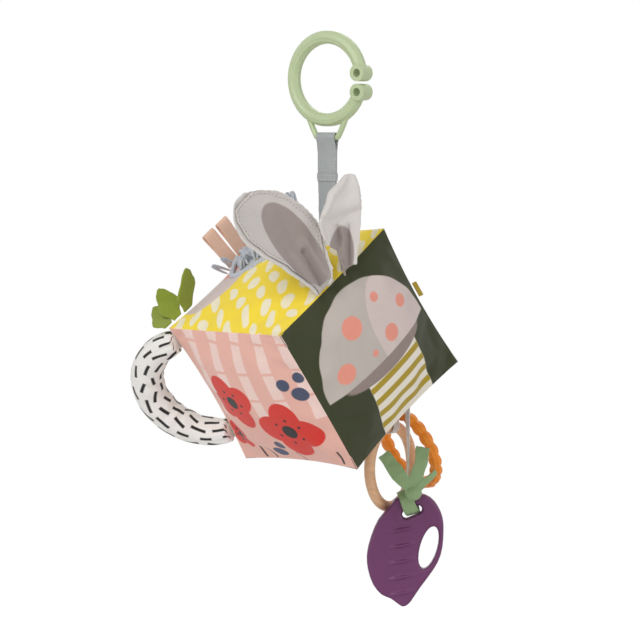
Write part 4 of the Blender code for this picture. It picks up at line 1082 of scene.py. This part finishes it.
@dataclass
class Ears:
    """Two cloth ears in the top front seam: the left one open to the front, the right one flopped over."""

    voxel: float = 0.8 * MM

    def crease(self, work: bmesh.types.BMesh, ear: EarPlace, start: tuple[float, float], end: tuple[float, float],
               wide: float, deep: float) -> None:
        """Presses a fold into an ear along a line of its own plane.

        Args:
            work: The ear's layer.
            ear: Its place.
            start: The fold's start, across and along, in millimetres.
            end: Its end.
            wide: How far the fold reaches to each side, in millimetres.
            deep: How far it goes in, in millimetres; a ridge where it is negative.
        """
        first, last = Vector(start), Vector(end)
        run = last - first
        for vert in work.verts:
            flat = Vector(ear.flat(vert.co)) / MM
            share = min(1.0, max(0.0, (flat - first).dot(run) / run.length_squared))
            apart = (flat - first - run * share).length / wide
            vert.co -= ear.front * deep * MM * math.exp(-apart * apart)

    def puff(self, work: bmesh.types.BMesh, ear: EarPlace, middle: tuple[float, float], wide: float, high: float) -> None:
        """Thickens an ear about a point of its own plane, as its wadding does.

        Args:
            work: The ear's layer.
            ear: Its place.
            middle: The point, across and along, in millimetres.
            wide: How far the swelling reaches, in millimetres.
            high: How far the skin moves out there, in millimetres.
        """
        for vert in work.verts:
            apart = (Vector(ear.flat(vert.co)) / MM - Vector(middle)).length / wide
            vert.co += vert.normal * high * MM * math.exp(-apart * apart)

    def build(self, bench: Bench) -> None:
        """Makes the four layers and the stitching round the left ear."""
        soft = SoftCopies()
        for node, ear in (("ear_left_plush", LEFT_EAR), ("ear_right_plush", RIGHT_EAR),
                          ("ear_left_lining", LEFT_EAR), ("ear_right_lining", RIGHT_EAR)):
            work = soft.remade(bench, node, self.voxel if "plush" in node else 0.6 * MM, 3)
            soft.ruffle(work, 45.0, 1.2 * MM, 5.0)
            soft.ruffle(work, 150.0, 0.3 * MM, 2.0)
            side = "ear_left" if "left" in node else "ear_right"
            if side == "ear_left":
                self.crease(work, ear, (11.0, 26.0), (4.0, -2.0), 1.9, 3.6)
                self.crease(work, ear, (15.5, 30.0), (9.5, 2.0), 3.0, -2.4)
                self.crease(work, ear, (4.0, 30.0), (0.0, 4.0), 3.2, -1.2)
                self.crease(work, ear, (2.0, 33.0), (-2.0, 12.0), 3.5, 0.8)
                self.crease(work, ear, (14.0, 50.0), (8.0, 32.0), 4.0, 0.6)
            else:
                self.crease(work, ear, (-9.0, 33.0), (9.0, 39.0), 2.2, 1.6)
                self.crease(work, ear, (-8.0, 37.0), (9.0, 43.0), 4.5, -2.2)
                self.crease(work, ear, (-2.5, 29.0), (0.5, 2.0), 1.2, 2.8)
                self.crease(work, ear, (4.0, 29.0), (3.6, 4.0), 1.1, 2.6)
                self.crease(work, ear, (0.8, 29.0), (2.2, 3.0), 1.4, -1.6)
                work.normal_update()
                if "plush" in node:
                    self.puff(work, ear, (0.0, 48.0), 14.0, 2.4)
                    self.puff(work, ear, (-3.0, 34.0), 6.0, 0.9)
            work.normal_update()
            if node == "ear_right_plush":
                # The right ear's folded plush gets a darker oval of painted shade over its pressed creases.
                finish = EarClothWithPaintedShade("grey_minky_folded", Dye.PLUSH, ear=ear, oval=(0.5, 12.0, 6.5, 17.0, 0.0))
            elif "plush" in node:
                finish = ShortPile("grey_minky", Dye.PLUSH)
            else:
                # The linings get the darker oval of painted shade inside the ear.
                finish = EarClothWithPaintedShade("ear_lining_cotton", Dye.LINING)
            slot = "ear_plush" if "plush" in node else "ear_lining"
            piece = bench.add(f"{node}_cloth", work, finish, side, slot, (node,), 1)
            if "plush" in node:
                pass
            elif side == "ear_left":
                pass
            else:
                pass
        self.stitch(bench)

    def stitch(self, bench: Bench) -> None:
        """Sews a line of stitches on the left lining, just inside its edge."""
        lining = next(piece for piece in bench.made if piece.name == "ear_left_lining_cloth")
        tree = BVHTree.FromPolygons(
            [vert.co for vert in lining.data.vertices], [tuple(face.vertices) for face in lining.data.polygons]
        )
        points, ways = [], []
        for step in range(91):
            angle = math.radians(-62 + 304 * step / 90)
            hits = []
            for reach in range(8, 110):
                flat = Vector((8.0 + 0.5 * reach * math.cos(angle), 36.0 + 0.5 * reach * math.sin(angle))) * MM
                start = LEFT_EAR.root + LEFT_EAR.across * flat.x + LEFT_EAR.along * flat.y
                hit = tree.ray_cast(start + LEFT_EAR.front * 0.04, -LEFT_EAR.front)
                if hit[0] is None:
                    break
                hits.append(hit)
            before = hits[-4]
            points.append(before[0])
            ways.append(before[1])
        if len(points) > 2:
            bench.add("ear_left_stitches", Thread(1.8 * MM, 0.8 * MM, 0.32 * MM).along(points, ways), GREY_THREAD,
                      "ear_left", "ear_lining")


@dataclass(frozen=True)
class LoopedPile(Finish):
    """Chenille: a fuzzy looped yarn, bluish grey, with painted shade that makes it darker in the low parts of its
    relief.
    """

    roughness: float = 1.0

    def build(self) -> bpy.types.Material:
        """Makes the yarn."""
        material, tree, shader = self.start()
        shader.inputs["Sheen Weight"].default_value = 0.6
        place = self.place(tree)
        fuzz = add_node(tree, "TexNoise", {"Vector": place, "Scale": 1.4, "Detail": 3.0, "Roughness": 0.75})
        # Painted shade: the relief's own noise darkens the yarn where the relief is low.
        self.shade(tree, shader, fuzz, 0.85, 1.2)
        self.bump(tree, shader, fuzz, 0.0008, 0.9)
        return material


@dataclass
class Tuft:
    """Loops of yarn that stand on a patch."""

    thick: float = 2.5 * MM
    sides: int = 6

    def strand(self, work: bmesh.types.BMesh, path: Sequence[Vector]) -> None:
        """Adds one tube of yarn along a path, closed and rounded at its ends.

        Args:
            work: The mesh that gets it.
            path: The points that it follows.
        """
        last: list[bmesh.types.BMEdge] = []
        for index, point in enumerate(path):
            way = (path[min(index + 1, len(path) - 1)] - path[max(index - 1, 0)]).normalized()
            size = self.thick / 2 * (0.55 if index in (0, len(path) - 1) else 1.0 + 0.18 * math.sin(5.0 * index))
            turned = Matrix.Translation(point) @ way.to_track_quat("Z", "Y").to_matrix().to_4x4()
            end = index in (0, len(path) - 1)
            ring = bmesh.ops.create_circle(work, cap_ends=end, segments=self.sides, radius=size, matrix=turned)
            edges = list({edge for vert in ring["verts"] for edge in vert.link_edges})
            if last:
                bmesh.ops.bridge_loops(work, edges=last + edges)
            last = edges

    def loop(self, foot: Vector, way: Vector, side: Vector, high: float, lean: float) -> list[Vector]:
        """The path of one loop of yarn.

        Args:
            foot: Where it stands.
            way: Its way up.
            side: The way to its other foot.
            high: Its height.
            lean: How far its top leans along its side.

        Returns:
            The points.
        """
        points = []
        for step in range(8):
            angle = math.pi * step / 7
            rise = high * math.sin(angle)
            points.append(foot + way * rise + side * (0.0016 * (1 - math.cos(angle)) + lean * rise))
        return points


@dataclass
class ChenillePatch:
    """The sewn patch of looped yarn on the upper side, with its corded border."""

    loops: int = 300
    high: float = 8.0 * MM
    strays: tuple[tuple[float, float, float, float], ...] = (
        (46, 52, 17, 0.5), (41, 50, 19, 0.35), (36, 51, 18, 0.6), (31, 50, 21, 0.45), (26, 52, 20, 0.55), (21, 50, 22, 0.4),
        (16, 49, 19, 0.2), (-14, 49, 17, 0.2), (-17, 51, 17, 0.3), (50, 8, 12, -0.5), (52, 3, 12, -0.7), (50, 45, 15, 0.2),
    )

    def crowded(self, place: Vector) -> bool:
        """Whether a loop would be in the way of the strap or of the tags as they move."""
        first, second, _ = (AXES.transposed() @ (place - BLOCK.middle())) / MM
        return (abs(first) < 13 and second > 36) or (first > 38 and 8 < second < 36)

    def build(self, bench: Bench) -> None:
        """Makes the ground with its loops, and the border."""
        soft = SoftCopies()
        ground = soft.remade(bench, "chenille_patch", 0.9 * MM, 2)
        soft.ruffle(ground, 160.0, 0.8 * MM)
        ground.normal_update()
        up = (AXES @ Vector((0.0, 0.0, -1.0))).normalized()
        tree = BVHTree.FromBMesh(ground)
        low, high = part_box("chenille_patch")
        tuft, count, tries = Tuft(), 0, 0
        pile = bmesh.new()
        while count < self.loops and tries < 4000:
            tries += 1
            chance = [noise.cell(Vector((tries * 1.37, 7.1 * step, 3.3))) for step in range(5)]
            start = Vector((low.x + (high.x - low.x) * chance[0], low.y + (high.y - low.y) * chance[1], high.z)) + up * 0.04
            hit = tree.ray_cast(start, -up)
            if hit[0] is None or hit[1].dot(up) < 0.6:
                continue
            count += 1
            angle = 2 * math.pi * chance[2]
            side = (AXES @ Vector((math.cos(angle), math.sin(angle), 0.0))).normalized()
            tall = (2.6 * MM if self.crowded(hit[0]) else self.high) * (0.45 + 0.55 * chance[3])
            tuft.strand(pile, tuft.loop(hit[0] - up * 0.8 * MM, up, side, tall, 0.5 * (chance[4] - 0.5)))
        for first, second, tall, lean in self.strays:
            start = BLOCK.at((first / 55, second / 55, -1.0)) + up * 0.02
            hit = tree.ray_cast(start, -up)
            foot = hit[0] if hit[0] is not None else BLOCK.at((first / 55, second / 55, -1.0), 0.4 * MM)
            side = (AXES @ Vector((0.3 * math.sin(3.0 * first), 1.0, 0.0))).normalized()
            tuft.strand(pile, tuft.loop(foot - up * 0.8 * MM, up, side, tall * MM, lean))
        bmesh.ops.recalc_face_normals(pile, faces=pile.faces[:])
        yarn = LoopedPile("chenille_yarn", Dye.CHENILLE)
        piece = bench.add("chenille_ground", ground, yarn, "block", "patch_pile", ("chenille_patch",), 0)
        bench.add("chenille_loops", pile, yarn, "block", "patch_pile", (), 1)
        border = soft.remade(bench, "patch_border", 0.8 * MM, 2)
        soft.ruffle(border, 260.0, 0.5 * MM)
        piece = bench.add("chenille_border", border, yarn, "block", "border_cord", ("patch_border",))


@dataclass
class SeamPieces:
    """The leaves, the tags and the side label, sewn into the block's seams."""

    def widen(self, piece: Object, share: float) -> None:
        """Makes a leaf rounder: it grows along the seam about its own middle.

        Args:
            piece: The leaf.
            share: Its new width for its old one.
        """
        way = AXES @ Vector((0.0, 1.0, 0.0))
        places = [vert.co.dot(way) for vert in piece.data.vertices]
        middle = (min(places) + max(places)) / 2
        for vert, place in zip(piece.data.vertices, places):
            vert.co += way * (place - middle) * (share - 1)

    def build(self, bench: Bench) -> None:
        """Makes each from its solid's outline."""
        soft = SoftCopies()
        felt = FeltedCloth("leaf_felt", Dye.LEAF)
        for index in (1, 2, 3):
            piece = soft.piece(bench, f"leaf_{index}", f"leaf_{index}_felt", felt, f"leaf_{index}", "leaf_cloth",
                               0.5 * MM, 3, ((120.0, 0.5 * MM),))
            self.widen(piece, 1.38)
        satin = SatinRibbon("peach_satin", Dye.PEACH)
        for index in (1, 2):
            piece = soft.piece(bench, f"ribbon_tag_{index}", f"tag_{index}_ribbon", satin, f"tag_{index}", "tag_ribbon",
                               0.35 * MM, 1)
        soft.piece(bench, "side_label", "side_label_ribbon", SatinRibbon("mustard_satin", Dye.MUSTARD), "label",
                   "label_cloth", 0.4 * MM, 1)


@dataclass
class Hanger:
    """The split plastic ring and the webbing strap that hangs from its eye."""

    def build(self, bench: Bench) -> None:
        """Dresses the ring and makes the strap with its sewn hem."""
        bench.dress("hanger_ring", MouldedPlastic("sage_polypropylene", Dye.SAGE, groove=(0.0, 0.0, -22.2, 25.2)))
        soft = SoftCopies()
        strap = soft.piece(bench, "hanging_strap", "hanging_strap_webbing", GREY_WEBBING, "strap", "grey_webbing",
                           0.45 * MM, 1)
        self.hem(bench, soft)

    def hem(self, bench: Bench, soft: SoftCopies) -> None:
        """Folds the strap's sewn end over itself, with two rows of stitches."""
        low, high = -88.2 * MM, -83.2 * MM
        work = soft.remade(bench, "hanging_strap", 0.45 * MM, 1)
        for level, way in ((low, -1.0), (high, 1.0)):
            bmesh.ops.bisect_plane(work, geom=work.verts[:] + work.edges[:] + work.faces[:], plane_co=(0, 0, level),
                                   plane_no=(0, 0, way), clear_outer=True)
        work.normal_update()
        for vert in work.verts:
            flat = Vector((vert.normal.x, vert.normal.y, 0.0))
            vert.co += flat.normalized() * 0.55 * MM if flat.length > 0.1 else flat
        tree = BVHTree.FromBMesh(work)
        bench.add("strap_hem", work, GREY_WEBBING, "strap", "grey_webbing")
        for row, level in enumerate((low + 1.0 * MM, high - 1.0 * MM)):
            points, ways = [], []
            for step in range(31):
                start = Vector((0.0, -0.05, level)) + Vector((0.75, -0.661, 0.0)) * (step / 30 - 0.5) * 14 * MM
                start += Vector((-0.661, -0.75, 0.0)) * 0.03 - Vector((0.0, -0.05, 0.0))
                hit = tree.ray_cast(start, Vector((0.661, 0.75, 0.0)))
                if hit[0] is not None:
                    points.append(hit[0])
                    ways.append(hit[1])
            if len(points) > 2:
                bench.add(f"strap_stitches_{row + 1}", Thread(1.5 * MM, 0.7 * MM, 0.35 * MM).along(points, ways),
                          PALE_THREAD, "strap", "grey_webbing")


@dataclass(frozen=True)
class HungRings:
    """What hangs from the lowest seam: two rings on ribbons and the teether on its strap."""

    plate_way: Vector = Vector((-0.6612, -0.7502, 0.0))
    plate_level: float = -24.5 * MM
    plate_middle: Vector = Vector((58.0, -12.0, -329.0)) * MM

    def build(self, bench: Bench) -> None:
        """Makes the ribbons and the teether, and dresses the rings."""
        soft = SoftCopies()
        turned = soft.remade(bench, "wood_ring", 0.7 * MM, 6)
        bench.add("wood_ring_turned", turned, WaxedBeech("waxed_beech", Dye.BEECH, grain_way=(0.4, 1.1, 0.2)), "wood_ring",
                  "beech", ("wood_ring",))
        moulded = soft.remade(bench, "scallop_ring", 0.5 * MM, 2)
        soft.sharpen(moulded, 30, 1.1)
        bench.add("scallop_ring_silicone", moulded, MouldedSilicone("orange_silicone", Dye.ORANGE), "scallop_ring",
                  "orange_silicone", ("scallop_ring",))
        for node, body in (("wood_ring_ribbon", "wood_ribbon"), ("scallop_ring_ribbon", "scallop_ribbon")):
            soft.piece(bench, node, f"{node}_tape", TAPE_PLAIN, body, "ring_ribbon", 0.35 * MM, 1)
        soft.piece(bench, "teether_strap", "teether_strap_tape", TAPE_PLAIN, "teether_strap", "strap_tape", 0.4 * MM, 1)
        soft.piece(bench, "teether_ribbon", "teether_ribbon_satin", SatinRibbon("moss_satin", Dye.MOSS),
                   "teether_strap", "green_ribbon", 0.4 * MM, 2, ((75.0, 1.3 * MM), (190.0, 0.5 * MM)))
        plate = soft.remade(bench, "teether", 0.7 * MM, 1)
        for vert in plate.verts:
            rise = vert.co.dot(self.plate_way) - self.plate_level
            if rise > 0.0:
                vert.co += self.plate_way * rise * 3.2
            about = vert.co - self.plate_middle
            flat = about - self.plate_way * about.dot(self.plate_way)
            dome = max(0.0, 1 - (math.hypot(flat.x, flat.y) / (27 * MM)) ** 2 - (flat.z / (42 * MM)) ** 2)
            vert.co += vert.normal * 1.6 * MM * dome * max(0.0, abs(vert.normal.dot(self.plate_way)) - 0.5)
        bmesh.ops.smooth_vert(plate, verts=plate.verts[:], factor=0.5, use_axis_x=True, use_axis_y=True, use_axis_z=True)
        bench.add("teether_silicone", plate, MouldedSilicone("plum_silicone", Dye.PLUM), "teether", "plum_silicone",
                  ("teether",), 1)


@dataclass
class StuffedHandle:
    """The stuffed half ring on the lower back seam: a gathered tube in brush-stroke cotton over its filling."""

    reach: float = 39.0 * MM
    wide: float = 22.4 * MM
    steps: int = 90
    sides: int = 48
    end_share: float = 0.60
    clear: float = 0.3 * MM

    def path(self) -> list[tuple[Vector, float]]:
        """The middle line and how full the tube is at each of its points."""
        first, last = (BLOCK.at((1.0, -1.0, 2 * share - 1)) for share in (0.11, 0.78))
        way = (AXES @ Vector((0.919, -0.395, 0.0))).normalized()
        points = []
        for index in range(self.steps + 1):
            angle = math.pi * index / self.steps
            middle = first.lerp(last, (1 - math.cos(angle)) / 2)
            full = self.end_share + (1 - self.end_share) * math.sin(angle) ** 0.5
            points.append((middle + way * (self.reach * math.sin(angle) + self.clear), full))
        return points

    def tube(self, inset: float, folds: float) -> bmesh.types.BMesh:
        """A closed tube round the middle line, with its lengthwise map.

        Args:
            inset: How far inside the cover's skin it lies.
            folds: How deep its gathers are.

        Returns:
            The tube.
        """
        work = bmesh.new()
        chart = work.loops.layers.uv.new("cloth")
        points = self.path()
        bmesh.ops.create_grid(work, x_segments=self.steps, y_segments=self.sides, size=1.0)
        axis = (AXES @ Vector((0.0, 0.0, 1.0))).normalized()
        plane = axis.cross((AXES @ Vector((0.919, -0.395, 0.0))).normalized()).normalized()
        length = math.pi * self.reach / MM
        for face in work.faces:
            for corner in face.loops:
                flat = corner.vert.co
                corner[chart].uv = ((flat.x + 1) / 2 * length, (flat.y + 1) / 2 * math.pi * self.wide / MM)
        for vert in work.verts:
            index = round((vert.co.x + 1) / 2 * self.steps)
            angle = math.pi * vert.co.y
            middle, full = points[index]
            way = (points[min(index + 1, self.steps)][0] - points[max(index - 1, 0)][0]).normalized()
            side = way.cross(plane).normalized()
            share = index / self.steps
            gather = 1 + folds * (0.35 * math.sin(9 * angle + 2) + 0.35 * math.sin(14 * angle)) * abs(2 * share - 1) ** 5
            inner = 0.5 + 0.5 * math.cos(angle)
            pinch = 1 - folds * 0.32 * inner * (0.5 + 0.5 * math.sin(index * 0.62 + 1.3 * math.sin(index * 0.21)))
            round_way = side * math.cos(angle) + plane * math.sin(angle)
            vert.co = middle + round_way * (self.wide / 2 * full - inset) * gather * pinch
        bmesh.ops.remove_doubles(work, verts=work.verts[:], dist=0.00001)
        bmesh.ops.holes_fill(work, edges=work.edges[:], sides=0)
        bmesh.ops.recalc_face_normals(work, faces=work.faces[:])
        return work

    def build(self, bench: Bench) -> None:
        """Makes the cover and the filling."""
        cloth = BrushStrokeCloth("brush_stroke_cotton", Dye.WHITE)
        cover = bench.add("handle_cover_cloth", self.tube(0.0, 0.22), cloth, "handle", "handle_cloth",
                          ("handle_cover",), 1)
        filling = bench.add("handle_filling", self.tube(2.2 * MM, 0.0), FeltedCloth("polyester_fibre", Dye.FILLING),
                            "handle", "filling", ("handle_stuffing",))


@dataclass
class Rattle:
    """The rattle capsule inside the block, which stays as its solids are."""

    def build(self, bench: Bench) -> None:
        """Dresses the cup, the lid and the beads."""
        shell = MouldedPlastic("white_polypropylene", Dye.WHITE)
        bench.dress("rattle_cup", shell)
        bench.dress("rattle_lid", shell)
        for index in (1, 2, 3):
            bench.dress(f"rattle_bead_{index}", MouldedPlastic("yellow_polypropylene", Dye.MUSTARD))


@dataclass
class Studio:
    """The camera, the lights, the floor and the backdrop."""

    azimuth: float = math.radians(-41.4)
    elevation: float = math.radians(3.1)
    distance: float = 2.6
    wide: float = 0.643 * MM * 640
    across: float = -4.8 * MM
    up: float = -177.5 * MM
    floor: float = -0.46

    def ways(self) -> tuple[Vector, Vector, Vector]:
        """The camera's right, up and forward."""
        flat = Vector((-math.sin(self.azimuth), math.cos(self.azimuth), 0.0))
        forward = flat * math.cos(self.elevation) - Vector((0.0, 0.0, math.sin(self.elevation)))
        right = Vector((math.cos(self.azimuth), math.sin(self.azimuth), 0.0))
        return right, right.cross(forward), forward

    def camera(self) -> None:
        """Puts a long lens at the photograph's angle."""
        right, up, forward = self.ways()
        data = bpy.data.cameras.new("camera")
        data.sensor_width = 36.0
        data.lens = 36.0 * self.distance / self.wide
        data.clip_end = 20.0
        camera = bpy.data.objects.new("camera", data)
        bpy.context.scene.collection.objects.link(camera)
        aim = right * self.across + up * self.up
        camera.matrix_world = Matrix((right, up, -forward)).transposed().to_4x4()
        camera.location = aim - forward * self.distance
        bpy.context.scene.camera = camera

    def lamp(self, name: str, place: Vector, size: float, power: float) -> None:
        """Adds a soft square lamp that points at the block.

        Args:
            name: Its name.
            place: Where it is: right, up and towards the camera, in metres.
            size: Its side.
            power: Its power in watts.
        """
        right, up, forward = self.ways()
        data = bpy.data.lights.new(name, "AREA")
        data.shape, data.size, data.energy = "SQUARE", size, power
        lamp = bpy.data.objects.new(name, data)
        bpy.context.scene.collection.objects.link(lamp)
        aim = Vector((0.0, 0.0, -0.19))
        lamp.location = aim + right * place.x + up * place.y - forward * place.z
        lamp.rotation_euler = (aim - lamp.location).to_track_quat("-Z", "Y").to_euler()

    def surroundings(self) -> None:
        """A white world for the camera and gloss, a soft one for light, and a pale floor that fades out far away."""
        world = bpy.data.worlds.new("studio")
        world.use_nodes = True
        tree = world.node_tree
        back = next(node for node in tree.nodes if node.type == "BACKGROUND")
        back.inputs["Color"].default_value = (1.0, 1.0, 1.0, 1.0)
        seen = add_node(tree, "LightPath", output="Is Camera Ray")
        gloss = add_node(tree, "LightPath", output="Is Glossy Ray")
        clear = add_node(tree, "LightPath", output="Is Transmission Ray")
        any_ray = add_node(tree, "Math", (add_node(tree, "Math", (seen, gloss), operation="MAXIMUM"), clear),
                           operation="MAXIMUM")
        tree.links.new(add_node(tree, "MapRange", {"Value": any_ray, "To Min": 0.42, "To Max": 1.0}),
                       back.inputs["Strength"])
        bpy.context.scene.world = world
        work = bmesh.new()
        bmesh.ops.create_grid(work, x_segments=2, y_segments=2, size=4.0)
        bmesh.ops.translate(work, verts=work.verts[:], vec=(0.0, 0.0, self.floor))
        mesh = bpy.data.meshes.new("floor")
        work.to_mesh(mesh)
        work.free()
        floor = bpy.data.objects.new("floor", mesh)
        bpy.context.scene.collection.objects.link(floor)
        material, tree, shader = Finish("white_paper", Dye.WHITE, 0.9).start()
        shader.inputs["Base Color"].default_value = (0.93, 0.93, 0.93, 1.0)
        shader.inputs["Emission Color"].default_value = (1.0, 1.0, 1.0, 1.0)
        ray = add_node(tree, "LightPath", output="Is Camera Ray")
        tree.links.new(add_node(tree, "Math", (ray, 0.5), operation="MULTIPLY"), shader.inputs["Emission Strength"])
        place = add_node(tree, "VectorMath", (add_node(tree, "NewGeometry", output="Position"),), "Value",
                         operation="LENGTH")
        fade = add_node(tree, "MapRange", {"Value": place, "From Min": 0.62, "From Max": 1.1})
        gone = add_node(tree, "Math", (fade, ray), operation="MULTIPLY")
        output = next(node for node in tree.nodes if node.type == "OUTPUT_MATERIAL")
        clear = add_node(tree, "BsdfTransparent")
        tree.links.new(add_node(tree, "MixShader", (gone, shader.outputs["BSDF"], clear)), output.inputs["Surface"])
        mesh.materials.append(material)

    def build(self) -> None:
        """Sets the studio up."""
        bpy.context.scene.view_settings.view_transform = "Standard"
        self.camera()
        self.lamp("key", Vector((-0.9, 1.1, 1.5)), 1.1, 17.0)
        self.lamp("fill", Vector((1.4, 0.3, 1.2)), 1.4, 6.0)
        self.lamp("back", Vector((0.3, 1.0, -1.3)), 1.0, 5.0)
        self.surroundings()


def main() -> None:
    """Builds every sub-assembly in order and reports the pieces."""
    logging.basicConfig(level=logging.INFO, format="%(message)s")
    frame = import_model()
    bench = Bench(frame)
    Studio().build()
    for part in (StuffedBlock(), Hanger(), Ears(), ChenillePatch(), SeamPieces(), StuffedHandle(), HungRings(), Rattle()):
        part.build(bench)
    LOG.info("%d pieces", len(bench.made))


if __name__ == "__main__":
    main()
